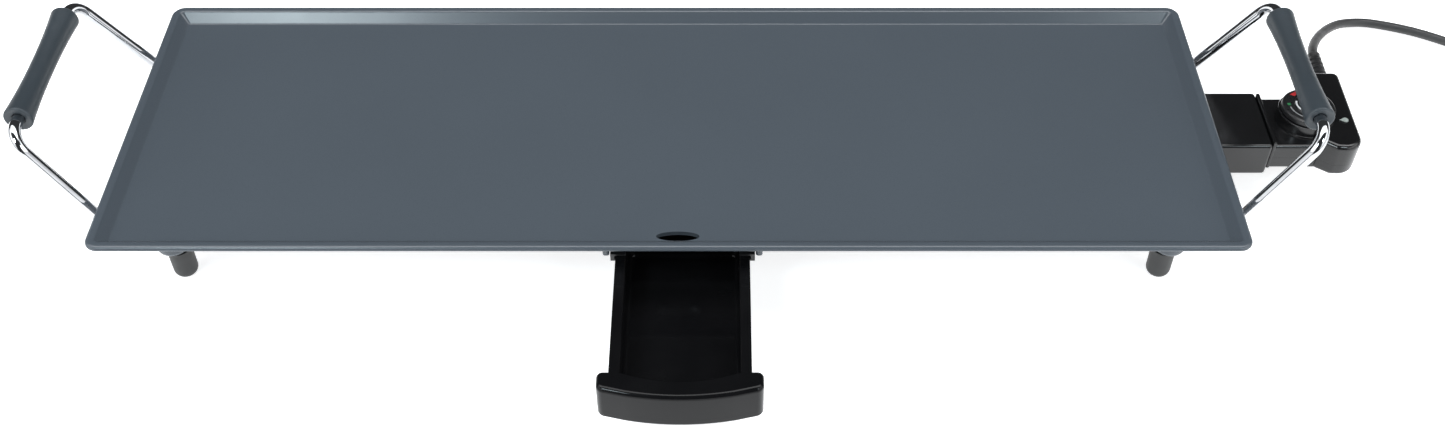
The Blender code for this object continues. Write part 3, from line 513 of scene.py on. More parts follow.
def ranged(paint, value, low, high, from_low=0.3, from_high=0.7, way="LINEAR"):
    made = node(paint, "ShaderNodeMapRange", interpolation_type=way, To_Min=low, To_Max=high)
    made.inputs["From Min"].default_value = from_low
    made.inputs["From Max"].default_value = from_high
    link(paint, value, made.inputs["Value"])
    return made.outputs["Result"]


def mixed(paint, share, one, other):
    """A colour between two colours, each an (r, g, b) or a socket."""
    made = node(paint, "ShaderNodeMix", data_type="RGBA")
    link(paint, share, made.inputs[0])
    for socket, colour in ((made.inputs[6], one), (made.inputs[7], other)):
        if isinstance(colour, tuple):
            socket.default_value = (*colour, 1)
        else:
            link(paint, colour, socket)
    return made.outputs[2]


def clouded(paint, scale, one, other, detail=3.0):
    """One colour that drifts into the other in soft patches."""
    return mixed(paint, ranged(paint, noise(paint, scale, detail), 0.0, 1.0), one, other)


def coloured(paint, colour):
    link(paint, colour, finish_of(paint)["Base Color"])


def glossed(paint, texture, low, high):
    """A gloss that is uneven between two roughnesses."""
    link(paint, ranged(paint, texture, low, high), finish_of(paint)["Roughness"])


def bumped(paint, height, depth, strength=1.0, under=None):
    made = node(paint, "ShaderNodeBump", Strength=strength, Distance=depth)
    link(paint, height, made.inputs["Height"])
    if under is not None:
        link(paint, under, made.inputs["Normal"])
    link(paint, made.outputs["Normal"], finish_of(paint)["Normal"])
    return made.outputs["Normal"]


def tones(colour, spread):
    """The colour a little darker and a little lighter."""
    return tuple(c * (1 - spread) for c in colour), tuple(min(1.0, c * (1 + spread)) for c in colour)


def moulded(name, colour, roughness, grain, depth, cloud=25, spread=0.08):
    """Plastic, rubber or paint. Its tone drifts in clouds, its gloss is uneven, and it has a grain.

    The cloud and the grain are noise scales, and the depth is the grain's, in metres.
    """
    paint = new_paint(name)
    coloured(paint, clouded(paint, cloud, *tones(colour, spread)))
    glossed(paint, noise(paint, cloud * 6, 4.0), roughness * 0.88, roughness * 1.14)
    bumped(paint, noise(paint, grain, 2.0), depth)
    return paint


def slate_coating():
    """Sprayed non-stick coating: a fine orange peel, darker and paler flecks, and a satin gloss."""
    paint = new_paint("slate_coating")
    body = clouded(paint, 9, *tones((0.063, 0.0755, 0.090), 0.02), 4.0)
    fleck = noise(paint, 1500, 2.0, 0.6)
    body = mixed(paint, ranged(paint, fleck, 0.0, 0.35, 0.60, 0.78), body, (0.090, 0.108, 0.126))
    body = mixed(paint, ranged(paint, fleck, 0.30, 0.0, 0.24, 0.40), body, (0.024, 0.030, 0.037))
    coloured(paint, body)
    glossed(paint, noise(paint, 60, 4.0), 0.23, 0.25)
    peel = bumped(paint, noise(paint, 700, 2.0), 0.000012)
    bumped(paint, fleck, 0.000012, 0.6, peel)
    return paint


def chrome_plate():
    """Bright plating, with faint drawing lines under it and a little cloudiness."""
    paint = new_paint("chrome_plate", Metallic=1.0)
    coloured(paint, clouded(paint, 80, (0.50, 0.51, 0.53), (0.57, 0.58, 0.60)))
    glossed(paint, noise(paint, 240, 4.0), 0.035, 0.09)
    bumped(paint, noise(paint, 500, 2.0), 0.00001)
    return paint


def bare_metal(name, colour, roughness, stretch, tarnish, share=0.2):
    """Plain worked metal: drawing marks along one way, and patches of tarnish."""
    paint = new_paint(name, Metallic=1.0)
    patches = ranged(paint, noise(paint, 70, 4.0), 0.0, share, 0.45, 0.7)
    coloured(paint, mixed(paint, patches, colour, tarnish))
    marks = noise(paint, 900, stretch=stretch)
    glossed(paint, marks, roughness * 0.8, roughness * 1.3)
    bumped(paint, marks, 0.00003)
    return paint


def element_sheath():
    """Steel sheath gone brown and blue with heat."""
    paint = new_paint("element_sheath", Metallic=1.0)
    straw = clouded(paint, 28, (0.24, 0.22, 0.20), (0.30, 0.22, 0.14))
    heat = ranged(paint, noise(paint, 45, 2.0), 0.0, 0.6, 0.5, 0.7)
    coloured(paint, mixed(paint, heat, straw, (0.13, 0.14, 0.19)))
    glossed(paint, noise(paint, 300), 0.34, 0.55)
    bumped(paint, noise(paint, 1200, 2.0), 0.00004)
    return paint


def gloss_black():
    """Polished black moulding, very slightly wavy, with a breath of haze."""
    paint = new_paint("gloss_black", Specular_IOR_Level=0.16)
    coloured(paint, clouded(paint, 30, (0.0035, 0.0035, 0.004), (0.0055, 0.0055, 0.006)))
    glossed(paint, noise(paint, 160, 5.0), 0.08, 0.17)
    waves = bumped(paint, noise(paint, 55, 1.0), 0.00006)
    bumped(paint, noise(paint, 2200, 2.0), 0.000006, 1.0, waves)
    return paint


# Matte ink for the dial's printed marks; the white one is a painted highlight, not print.
def print_and_highlight(name, colour):
    return moulded(name, colour, 0.45, 2500, 0.00002, 300, 0.10)


def lamp_lens():
    """Milky clear plastic."""
    paint = new_paint("lamp_lens", Transmission_Weight=0.25)
    coloured(paint, clouded(paint, 200, (0.34, 0.40, 0.38), (0.50, 0.55, 0.52)))
    glossed(paint, noise(paint, 900), 0.14, 0.24)
    bumped(paint, noise(paint, 1500), 0.00002)
    return paint


PAINTS = {
    "slate": slate_coating(),
    "chrome": chrome_plate(),
    "grip": moulded("grip_plastic", (0.026, 0.035, 0.043), 0.46, 1300, 0.00005),
    "foot": moulded("foot_plastic", (0.030, 0.030, 0.030), 0.50, 800, 0.00008),
    "tray": gloss_black(),
    "control": moulded("control_plastic", (0.0065, 0.0065, 0.007), 0.17, 1600, 0.000016, 60),
    "dial": moulded("dial_plastic", (0.010, 0.010, 0.011), 0.30, 1800, 0.00002, 90),
    "rail": moulded("rail_paint", (0.014, 0.014, 0.015), 0.34, 700, 0.00005),
    "cord": moulded("cord_rubber", (0.027, 0.027, 0.028), 0.48, 1500, 0.00005, 40),
    "relief": moulded("relief_rubber", (0.016, 0.016, 0.017), 0.42, 1400, 0.00004, 60),
    "steel": bare_metal("bright_steel", (0.56, 0.56, 0.57), 0.28, (1, 1, 6), (0.36, 0.35, 0.34)),
    "strip": bare_metal("strip_steel", (0.46, 0.46, 0.47), 0.36, (8, 1, 1), (0.30, 0.27, 0.24), 0.5),
    "brass": bare_metal("bare_brass", (0.60, 0.43, 0.18), 0.30, (1, 6, 6), (0.36, 0.24, 0.12), 0.5),
    "element": element_sheath(),
    "ceramic": moulded("ceramic_body", (0.62, 0.59, 0.52), 0.55, 1800, 0.00006, 120, 0.06),
    "red": print_and_highlight("red_print", (0.42, 0.016, 0.020)),
    "green": print_and_highlight("green_print", (0.020, 0.16, 0.055)),
    # White: a painted highlight along the edge of the dial's raised middle, not a printed mark.
    "white": print_and_highlight("white_painted_highlight", (0.62, 0.63, 0.64)),
    "grey": print_and_highlight("grey_print", (0.24, 0.245, 0.25)),
    "lens": lamp_lens(),
}

# The CAD nodes that stay in view, by the start of their names
DRESSED_NODES = {
    "steel": ("handle_screw", "terminal_pin", "probe_rod", "dial_spindle", "plug_pin"),
    "rail": ("tray_rail",),
    "strip": ("element_clip",),
    "ceramic": ("terminal_insulator", "thermostat_switch"),
    "brass": ("probe_sleeve", "earth_blade", "contact_socket"),
    "lens": ("pilot_lamp",),
}


# Plate and what is cast on it


def skin_profile():
    """The plate's skin as (inset, height): its floor's edge, the wall, the rim, then back underneath."""
    floor_edge = [(0.0136, FLOOR), (0.0125, FLOOR), (0.0119, -0.0063), (0.0114, -0.0060)]
    rim = [(0.0064, -0.0011), (0.0059, -0.0006), (0.0050, -0.0002), (0.0036, 0.0)]
    rim += [(0.0024, 0.0), (0.0013, -0.0003), (0.0004, -0.0011), (0.0, -0.0022)]
    rim += [(0.0003, -0.0029), (0.0012, -0.0032), (0.0034, -0.0032), (0.0046, -0.0036)]
    under = [(0.0091, -0.0079), (0.0099, -0.0087), (0.0111, -0.0093)]
    under += [(0.0126, UNDERSIDE), (0.0136, UNDERSIDE)]
    return [tuple(point) for part in (floor_edge, rim, under) for point in spline(part, 3)]


def leg(x, y):
    """A cast leg that flares into the plate and is rounded at its foot."""
    outside = [
        (0.0150, CASTING_ROOT),
        (0.0130, UNDERSIDE - 0.0004),
        (0.0116, UNDERSIDE - 0.0022),
        (0.0110, UNDERSIDE - 0.0060),
        (0.0105, LEG_BOTTOM + 0.0060),
        (0.0103, LEG_BOTTOM + 0.0028),
        (0.0094, LEG_BOTTOM + 0.0009),
        (0.0076, LEG_BOTTOM),
    ]
    return turned("leg", [(0, CASTING_ROOT), *spline(outside, 4), (0, LEG_BOTTOM)], (x, y, 0))


def post(x, y, radius, bottom):
    """A cast post for a screw, with a small flare at the plate."""
    profile = [
        (0, CASTING_ROOT),
        (radius + 0.0022, CASTING_ROOT),
        (radius + 0.0012, UNDERSIDE - 0.0002),
        (radius + 0.0003, UNDERSIDE - 0.0009),
        (radius, UNDERSIDE - 0.0016),
        (radius, bottom + 0.0004),
        (radius - 0.0004, bottom),
        (0, bottom),
    ]
    return turned("post", profile, (x, y, 0), steps=32)


def plate():
    """The casting: its skin, then what is cast on underneath, then its holes."""
    rings = []
    for inset, height in skin_profile():
        length = HALF_LENGTH - inset
        depth = HALF_DEPTH - inset
        corners = rectangle(-length, -depth, length, depth, max(CORNER_RADIUS - inset, 0.0016))
        rings.append([(x, y, height) for x, y in plan(corners, 16)])
    shell = skinned("plate_casting", rings)
    cast = [leg(side * LEG_X, end * LEG_Y) for side, end in LEGS]
    cast += [post(x, 0, POST_RADIUS, CLIP_TOP + POST_GAP) for x in CLIPS_AT.values()]
    cast += [post(x, y, 0.0045, SHROUD_TOP + POST_GAP) for x, y in SHROUD_SCREWS_AT.values()]
    for side in (-1, 1):
        screw_x = TRAY_X + side * RAIL_SCREW_X
        cast += [post(screw_x, y, POST_RADIUS, RAIL_TOP + POST_GAP) for y in RAIL_SCREWS_Y]
        rib_x = TRAY_X + side * RIB_X
        low = (rib_x - RIB_HALF_WIDTH, RAIL_FRONT_Y, RAIL_TOP - 0.002)
        high = (rib_x + RIB_HALF_WIDTH, RAIL_FRONT_Y + 0.020, CASTING_ROOT)
        cast.append(block("rail_rib", low, high, 0.0014))
    low = (PROBE_TIP_X + 0.002, INLET_Y - 0.004, CONTACT_Z + 0.0048)
    high = (PROBE_TIP_X + 0.030, INLET_Y + 0.004, CASTING_ROOT)
    cast.append(block("sleeve_saddle", low, high, 0.0008))
    joined(shell, cast)

    drip = upright(1, DRIP_X, DRIP_Y, -0.03, 0.01, 64)
    for vertex in drip.data.vertices:
        vertex.co.x = DRIP_X + (vertex.co.x - DRIP_X) * DRIP_HALF_LENGTH
        vertex.co.y = DRIP_Y + (vertex.co.y - DRIP_Y) * DRIP_HALF_WIDTH
    holes = [drip]
    for side, end in LEGS:
        y = end * LEG_Y
        holes.append(upright(0.0022, side * FOOT_X, y, LEG_BOTTOM - 0.001, STUD_TOP + 0.0007))
        outside = side * (LEG_X + 0.015)
        inside = side * (WIRE_END_X - 0.0005)
        holes.append(along_x(WIRE_RADIUS + 0.0003, y, SOCKET_Z, outside, inside))
        near = end * (LEG_Y - 0.0125)
        far = end * (LEG_Y - 0.0030)
        holes.append(along_y(0.0018, side * SET_SCREW_X, SOCKET_Z, near, far, 24))
    return cut(shell, holes)


# Handles and feet


def grip(name, side):
    """A waisted grip whose end faces are slightly dished round the wire."""
    bore = WIRE_RADIUS + 0.0002
    shoulder = GRIP_HALF - 0.0014
    half = []
    for step in range(25):
        share = step / 24
        radius = GRIP_WAIST_RADIUS + (GRIP_END_RADIUS - GRIP_WAIST_RADIUS) * share ** 2.2
        half.append((radius, share * shoulder))
    for angle in quarter(5):
        half.append((GRIP_END_RADIUS - 0.0012 * (1 - cos(angle)), shoulder + 0.0014 * sin(angle)))
    half += [
        (GRIP_END_RADIUS - 0.0020, GRIP_HALF - 0.0002),
        (bore + 0.0012, GRIP_HALF - 0.0007),
        (bore + 0.0004, GRIP_HALF - 0.0009),
        (bore, GRIP_HALF - 0.0013),
    ]
    profile = [(radius, -height) for radius, height in reversed(half)] + half[1:]
    return turned(name, profile, (side * GRIP_X, 0, GRIP_Z), "Y", steps=64, closed=True)


def wire(name, side):
    """A bent wire from one leg up to the grip, along it, and down to the other leg."""
    half = [
        ((WIRE_END_X, LEG_Y, SOCKET_Z), 0),
        ((HEEL_X, LEG_Y, SOCKET_Z), WIRE_BEND),
        ((GRIP_X, WIRE_CORNER_Y, GRIP_Z), WIRE_BEND),
    ]
    other = [((x, -y, z), bend) for (x, y, z), bend in reversed(half)]
    corners = [((side * x, y, z), bend) for (x, y, z), bend in half + other]
    return tube(name, filleted(corners, steps=20), WIRE_RADIUS, 32)


def foot(name, side, end):
    """A round foot with a shoulder and a rounded, flat-bottomed end."""
    top = LEG_BOTTOM - 0.0003
    bottom = -HOME.z
    profile = [
        (0, STUD_TOP),
        (0.0016, STUD_TOP),
        (0.0020, STUD_TOP - 0.0004),
        (0.0020, top),
        (FOOT_RADIUS - 0.0006, top),
        (FOOT_RADIUS - 0.0002, top - 0.0002),
        (FOOT_RADIUS, top - 0.0006),
        (FOOT_RADIUS - 0.0001, bottom + FOOT_EDGE),
    ]
    for angle in quarter(8):
        radius = FOOT_RADIUS - 0.0001 - 0.0035 * (1 - cos(angle))
        profile.append((radius, bottom + FOOT_EDGE * (1 - sin(angle))))
    profile.append((0, bottom))
    return turned(name, profile, (side * FOOT_X, end * LEG_Y, 0))


# Element, screws and shroud


def element():
    """Four runs of tube under the plate, whose two ends drop to the terminals."""
    run = RUN_PITCH / 2
    right = 0.215
    sheath_end = SHROUD_BACK_X - 0.0015
    pin_low = PINS_AT["front"]
    pin_high = PINS_AT["rear"]
    turn = run * 0.98
    z = ELEMENT_Z
    corners = [
        ((sheath_end, pin_high, CONTACT_Z), 0),
        ((0.3120, pin_high, CONTACT_Z), 0.008),
        ((0.2960, pin_high + 0.012, z), 0.008),
        ((0.2700, 3 * run, z), 0.012),
        ((ELEMENT_LEFT, 3 * run, z), turn),
        ((ELEMENT_LEFT, run, z), turn),
        ((right, run, z), turn),
        ((right, -run, z), turn),
        ((ELEMENT_LEFT, -run, z), turn),
        ((ELEMENT_LEFT, -3 * run, z), turn),
        ((0.2600, -3 * run, z), 0.012),
        ((0.2960, pin_low - 0.018, z), 0.008),
        ((0.3120, pin_low, CONTACT_Z), 0.008),
        ((sheath_end, pin_low, CONTACT_Z), 0),
    ]
    return tube("heating_tube", filleted(corners, steps=14), ELEMENT_RADIUS, 20)


def cross_screw(name, cad):
    """A pan-headed screw, head down, with a cross recess, where its CAD node is and as long."""
    low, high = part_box(cad)
    length = high.z - low.z
    head = 0.0020
    profile = [(0, length), (0.0013, length), (0.0015, length - 0.0003), (0.0015, head), (0.0030, head)]
    for angle in quarter(6):
        profile.append((0.0030 * cos(angle) ** 0.6, head * (1 - sin(angle))))
    middle = (low + high) / 2
    place = Vector((middle.x, middle.y, low.z)) - HOME
    screw = turned(name, profile, place, steps=28)
    slots = []
    for turn in (0.6, 0.6 + pi / 2):
        low_corner = place + Vector((-0.0017, -0.00032, -0.001))
        high_corner = place + Vector((0.0017, 0.00032, 0.0011))
        slots.append(block("slot", low_corner, high_corner, turn=turn))
    return cut(screw, slots)


def shroud():
    """An open box round the terminals, with two ears screwed up to the plate."""
    low = (SHROUD_BACK_X, INLET_Y - SHROUD_HALF_WIDTH, SHROUD_BOTTOM)
    high = (SHROUD_MOUTH_X, INLET_Y + SHROUD_HALF_WIDTH, SHROUD_TOP)
    box = block("inlet_shroud", low, high, 0.0024, 6)
    wall = SHROUD_WALL
    ears = []
    for x, y in SHROUD_SCREWS_AT.values():
        ear_low = (x - EAR_HALF, y - EAR_HALF, SHROUD_TOP - wall)
        ears.append(block("ear", ear_low, (x + 0.009, y + EAR_HALF, SHROUD_TOP), 0.0005))
    joined(box, ears)
    cavity_low = (low[0] + wall, low[1] + wall, low[2] + wall)
    cavity_high = (high[0] + 0.01, high[1] - wall, high[2] - wall)
    holes = [block("cavity", cavity_low, cavity_high, 0.0006)]
    back = (SHROUD_BACK_X - 0.01, SHROUD_BACK_X + 0.01)
    for y in PINS_AT.values():
        holes.append(along_x(0.0047, y, CONTACT_Z, *back))
    holes.append(along_x(0.0048, INLET_Y, CONTACT_Z, *back))
    for x, y in SHROUD_SCREWS_AT.values():
        holes.append(upright(0.0019, x, y, SHROUD_TOP - 0.01, SHROUD_TOP + 0.01))
    return cut(box, holes)


# Drip tray


def bowed(half_width, side_y, bow, steps=28):
    """Points across the tray, bowed forwards in the middle."""
    points = []
    for step in range(steps + 1):
        across = -1 + 2 * step / steps
        points.append((TRAY_X + across * half_width, side_y - bow * (1 - across * across)))
    return points


def tray_plan(half_width, side_y, bow, back_y, back_radius):
    """The tray's outline: a bowed front, straight sides and two rounded corners behind."""
    corners = [
        (TRAY_X + half_width, side_y, 0),
        (TRAY_X + half_width, back_y, back_radius),
        (TRAY_X - half_width, back_y, back_radius),
        (TRAY_X - half_width, side_y, 0),
    ]
    back = plan(corners, 10, closed=False)
    return divided(bowed(half_width, side_y, bow) + back[1:-1], 0.012)


def pull():
    """The face to pull by: bowed in front, with rounded corners and wings and rolled edges."""
    rings = []
    for inset, height in rounded_ends(TRAY_BOTTOM, TRAY_TOP + 0.0001, 0.0024, 0.0030, 8):
        half = FACE_HALF_WIDTH - inset
        corner = 0.0052 - inset
        bow = bowed(half, FACE_FRONT_Y + FACE_BOW + inset, FACE_BOW, 24)
        front = [(x, y, 0) for x, y in bow[4:-4]]
        left = (TRAY_X - half, bow[0][1], corner)
        right = (TRAY_X + half, bow[-1][1], corner)
        wing_y = FACE_WING_Y - inset
        wings = [(TRAY_X + half, wing_y, 0.0036 - inset), (TRAY_X - half, wing_y, 0.0036 - inset)]
        rings.append([(x, y, height) for x, y in plan([left, *front, right, *wings], 8)])
    return skinned("pull", rings)


def tray():
    """One moulding: a well with a rolled lip, a flange that rides on the rails, and the face."""
    well_half = TRAY_HALF_WIDTH - TRAY_FLANGE
    front_y = FACE_WING_Y - 0.002
    hull = tray_plan(well_half + TRAY_WALL, front_y, TRAY_BOW, TRAY_BACK_Y, 0.006)
    body = loft("tray_moulding", hull, rounded_ends(TRAY_BOTTOM, TRAY_TOP - 0.0002, 0.0020, 0.0002))
    rim = tray_plan(TRAY_HALF_WIDTH, front_y, TRAY_BOW, TRAY_BACK_Y, 0.003)
    flange = loft("flange", rim, rounded_ends(TRAY_TOP - 0.0020, TRAY_TOP, 0.0005, 0.0008, 4))
    joined(body, [flange, pull()])
    well = tray_plan(well_half, -0.1935, 0.0065, TRAY_BACK_Y - TRAY_WALL, 0.005)
    hollow = rounded_ends(TRAY_BOTTOM + TRAY_WALL, TRAY_TOP + 0.004, 0.0030, 0.0)
    sides = [(inset, z) for inset, z in hollow if z < TRAY_TOP - 0.002]
    sides += [(0.0, TRAY_TOP - 0.0010), (-0.0002, TRAY_TOP - 0.0005), (-0.0007, TRAY_TOP - 0.0001)]
    sides += [(-0.0012, TRAY_TOP + 0.0003), (-0.0012, TRAY_TOP + 0.004)]
    return cut(body, [loft("well", well, sides)])


# Control


def case_plan(inset=0.0):
    """The outline of the case's body, moved in, with its bends made tighter by as much."""
    corners = [
        (0.4240, -0.0040, 0.0030),
        (0.4330, -0.0106, 0.0060),
        (CASE_RIGHT_X - CASE_TAPER, -0.0114, 0.0125),
        (CASE_RIGHT_X, CASE_REAR_Y, 0.0046),
        (0.4310, CASE_REAR_Y, 0.0034),
        (0.4240, 0.0480, 0.0030),
    ]
    places = moved_in([(x, y) for x, y, _ in corners], inset)
    bends = [max(bend - inset, 0.0008) for _, _, bend in corners]
    return plan([(x, y, bend) for (x, y), bend in zip(places, bends)], 10)


def turret():
    """The round tower under the dial, with a small fillet at its root."""
    radius = TURRET_RADIUS
    profile = [
        (0, -0.032),
        (radius, -0.032),
        (radius, NECK_TOP - 0.001),
        (radius + 0.0010, NECK_TOP - 0.001),
        (radius + 0.0007, NECK_TOP + 0.0002),
        (radius + 0.0002, NECK_TOP + 0.0010),
        (radius, NECK_TOP + 0.0020),
        (radius, TURRET_TOP - 0.0010),
        (radius - 0.0003, TURRET_TOP - 0.0003),
        (radius - 0.0010, TURRET_TOP),
        (0, TURRET_TOP),
    ]
    return turned("turret", profile, (DIAL_X, DIAL_Y, 0), steps=72)


def case_half(name, low, high):
    """The part of the hollow control case between two heights."""
    neck_low = INLET_Y - NECK_HALF_WIDTH
    neck_high = INLET_Y + NECK_HALF_WIDTH
    case = block(name, (NECK_START_X, neck_low, NECK_BOTTOM), (0.430, neck_high, NECK_TOP), 0.0024, 6)
    levels = rounded_ends(CASE_BOTTOM, CASE_TOP, 0.0034, 0.0036, 7)
    body = skinned("body", [[(x, y, z) for x, y in case_plan(inset)] for inset, z in levels])
    collar = block(
        "collar",
        (COLLAR_X - 0.0012, neck_low - 0.0005, NECK_BOTTOM + 0.0004),
        (COLLAR_X + 0.0012, neck_high + 0.0008, NECK_TOP + 0.0035),
        0.0008,
    )
    joined(case, [body, turret(), collar])
    wall = CASE_WALL
    neck_inside = (NECK_START_X + wall, neck_low + wall, NECK_BOTTOM + wall)
    hollow = [
        block("neck_hollow", neck_inside, (0.428, neck_high - wall, NECK_TOP - wall)),
        loft("body_hollow", case_plan(wall), [(0, CASE_BOTTOM + wall), (0, CASE_TOP - wall)]),
        upright(TURRET_RADIUS - wall, DIAL_X, DIAL_Y, -0.030, TURRET_TOP - wall),
        upright(0.0030, DIAL_X, DIAL_Y, -0.03, 0),
        upright(0.0015, LENS_X, LENS_Y, -0.03, 0),
        along_y(0.0048, RELIEF_X, RELIEF_Z, CASE_REAR_Y - 0.01, CASE_REAR_Y + 0.01),
        along_x(0.0033, INLET_Y, CONTACT_Z, 0.33, 0.345),
    ]
    hollow += [along_x(0.0037, y, CONTACT_Z, 0.33, 0.345) for y in PINS_AT.values()]
    if high < CASE_TOP:
        for x, y in CASE_SCREWS_AT.values():
            hollow.append(upright(0.0020, x, y, CASE_BOTTOM - 0.01, CASE_BOTTOM + 0.01))
        hollow.append(block("upper_half", (0.3, -0.1, high), (0.5, 0.2, high + 0.1)))
    else:
        hollow.append(block("lower_half", (0.3, -0.1, low - 0.1), (0.5, 0.2, low)))
    return cut(case, hollow)


def dial():
    """A skirted dial with a raised middle and a finger bar."""
    bottom = DIAL_BOTTOM
    profile = [
        (0, bottom + 0.0052),
        (0.0092, bottom + 0.0052),
        (0.0096, bottom + 0.0050),
        (0.0099, bottom + 0.0045),
        (0.0104, bottom + 0.0043),
        (0.0158, bottom + 0.0040),
        (DIAL_RADIUS - 0.0012, bottom + 0.0037),
        (DIAL_RADIUS - 0.0004, bottom + 0.0033),
        (DIAL_RADIUS, bottom + 0.0026),
        (DIAL_RADIUS, bottom + 0.0004),
        (DIAL_RADIUS - 0.0004, bottom),
        (0, bottom),
    ]
    knob = turned("dial_cap", profile, (DIAL_X, DIAL_Y, 0), steps=96)
    low = (DIAL_X - 0.0032, DIAL_Y - 0.0125, bottom + 0.003)
    high = (DIAL_X + 0.0032, DIAL_Y + 0.0125, bottom + 0.0115)
    joined(knob, [block("bar", low, high, 0.0014, 6)])
    return cut(knob, [upright(0.0029, DIAL_X, DIAL_Y, bottom - 0.01, bottom + 0.0040)])


def arc_band(name, radius, width, start, end, height):
    """A thin band on the dial, between two angles in degrees: printed marks, and the white painted
    highlight along the edge of the raised middle.
    """
    rings = []
    steps = max(2, round(abs(end - start) / 4))
    up = Vector((0, 0, PRINT_THICKNESS))
    base = Vector((DIAL_X, DIAL_Y, height))
    for step in range(steps + 1):
        angle = radians(start + (end - start) * step / steps)
        inner = base + (radius - width / 2) * Vector((cos(angle), sin(angle), 0))
        outer = base + (radius + width / 2) * Vector((cos(angle), sin(angle), 0))
        rings.append([inner, outer, outer + up, inner + up])
    return skinned(name, rings)


def wedge_mark(name, low, high, start, end, height):
    """A printed wedge on the dial, wide outside and narrow inside."""
    middle = (start + end) / 2
    corners = [(low, middle - 3), (high, start), (high, middle), (high, end), (low, middle + 3)]
    rings = []
    for z in (height, height + PRINT_THICKNESS):
        places = [(radius * cos(radians(a)), radius * sin(radians(a))) for radius, a in corners]
        rings.append([(DIAL_X + x, DIAL_Y + y, z) for x, y in places])
    return skinned(name, rings)


def lens():
    """A drop with its point towards -X, on a stem that goes down into the case."""
    base = CASE_TOP + 0.0003
    outline = [(LENS_X - LENS_POINT, LENS_Y)]
    for step in range(25):
        angle = radians(-110 + 220 * step / 24)
        outline.append((LENS_X + LENS_RADIUS * cos(angle), LENS_Y + LENS_RADIUS * sin(angle)))
    edge = [(0, base), (0, base + 0.0003), (0.0002, base + 0.0006), (0.0006, base + 0.0007)]
    stem = upright(0.0012, LENS_X, LENS_Y, base - 0.004, base + 0.0003)
    return joined(loft("lens_window", outline, edge), [stem])


def relief():
    """A ribbed sleeve that tapers from the case to the cord."""
    bore = CORD_RADIUS + 0.0002
    first = 0.0040
    pitch = (RELIEF_LENGTH - first - 0.004) / RELIEF_RIBS
    end = RELIEF_LENGTH
    profile = [(bore, end - 0.0002), (bore + 0.0003, end), (0.0041, end), (0.0043, end - 0.0003)]
    for rib in range(RELIEF_RIBS, 0, -1):
        top = first + rib * pitch
        radius = 0.0062 - 0.0019 * rib / (RELIEF_RIBS + 1)
        low = radius - 0.0010
        profile += [
            (low, top),
            (radius - 0.0003, top - 0.0002),
            (radius, top - 0.0006),
            (radius, top - 0.5 * pitch),
            (radius - 0.0003, top - 0.5 * pitch - 0.0003),
            (low, top - 0.55 * pitch - 0.0003),
        ]
    profile += [(0.0052, first), (0.0060, first - 0.0002), (0.0062, first - 0.0006), (0.0062, 0.0014)]
    profile += [(0.0059, 0.0011), (0.0041, 0.0011), (0.0041, -0.0034), (0.0051, -0.0034)]
    profile += [(0.0051, -0.0054), (bore, -0.0054)]
    sleeve = turned("relief_sleeve", profile, (0, 0, 0), "Y", steps=40, closed=True)
    place = Matrix.Translation((RELIEF_X, CASE_REAR_Y, RELIEF_Z))
    sleeve.data.transform(place @ Matrix.Rotation(-RELIEF_TURN, 4, "Z"))
    return sleeve


# Cord, coil, tie and plug


def coil_points():
    """The cord's turns: inwards in the lower layer, up, and outwards in the upper one."""
    sweep = COIL_START + 360 * COIL_TURNS
    lower = (sweep - COIL_CLIMB) / 2
    points = []
    count = round(sweep / 12)
    for step in range(count + 1):
        gone = sweep * step / count
        inwards = min(gone, lower) - max(0.0, gone - lower - COIL_CLIMB)
        radius = COIL_OUTER - COIL_PITCH * inwards / 360
        rise = min(1.0, max(0.0, (gone - lower) / COIL_CLIMB))
        rise = rise * rise * (3 - 2 * rise)
        angle = radians(COIL_START - gone)
        near_tie = max(0.0, cos(angle + pi))
        z = LAYER_LOW_Z + (LAYER_HIGH_Z - LAYER_LOW_Z) * rise + TIE_LIFT * near_tie ** 12
        points.append((COIL_X + radius * cos(angle), COIL_Y + radius * sin(angle), z))
    return points


def tie():
    """A flat strap round all the turns on one side of the coil."""
    inner = COIL_OUTER - COIL_PITCH * 2.55 - CORD_RADIUS - 0.0004
    outer = COIL_OUTER + CORD_RADIUS + 0.0006
    inside = plan(rectangle(COIL_X - outer, 0.0011, COIL_X - inner, 0.0166, 0.0026), 8)
    outside = moved_in(inside, -TIE_THICKNESS)
    near = COIL_Y - TIE_HALF_WIDTH
    far = COIL_Y + TIE_HALF_WIDTH
    loops = ((inside, near), (outside, near), (outside, far), (inside, far))
    rows = [[(x, y, z) for x, z in loop] for loop, y in loops]
    return skinned("cord_band", rows, closed=True)


def plug():
    """A moulded round two-pin plug with finger ridges and a tapered tail for the cord."""
    length = PLUG_LENGTH
    radius = PLUG_RADIUS
    bore = CORD_RADIUS + 0.0003
    profile = [(0, length - 0.008), (bore, length - 0.008), (bore, length)]
    profile += [(0.0054, length), (0.0058, length - 0.0004)]
    tail = [
        (0.0059, length - 0.0015),
        (0.0068, length - 0.0085),
        (0.0102, length - 0.0140),
        (radius - 0.0020, length - 0.0188),
    ]
    profile += spline(tail, 5)
    for ridge in range(4):
        low = length - 0.0195 - ridge * 0.0030
        profile += [(radius - 0.0006, low), (radius, low - 0.0004), (radius, low - 0.0014)]
        profile += [(radius - 0.0006, low - 0.0018), (radius - 0.0008, low - 0.0024)]
    profile += [(radius, 0.0034), (radius, 0.0012), (radius - 0.0004, 0.0004)]
    profile += [(radius - 0.0012, 0), (0, 0)]
    shell = turned("plug_shell", profile, (PLUG_X, PLUG_Y, PLUG_Z), "Y", steps=64)
    holes = []
    for side in (-1, 1):
        pin_x = PLUG_X + side * PLUG_PIN_OFFSET
        holes.append(along_y(0.0027, pin_x, PLUG_Z, PLUG_Y + 0.008, PLUG_Y - 0.01))
    return cut(shell, holes)


# The stage


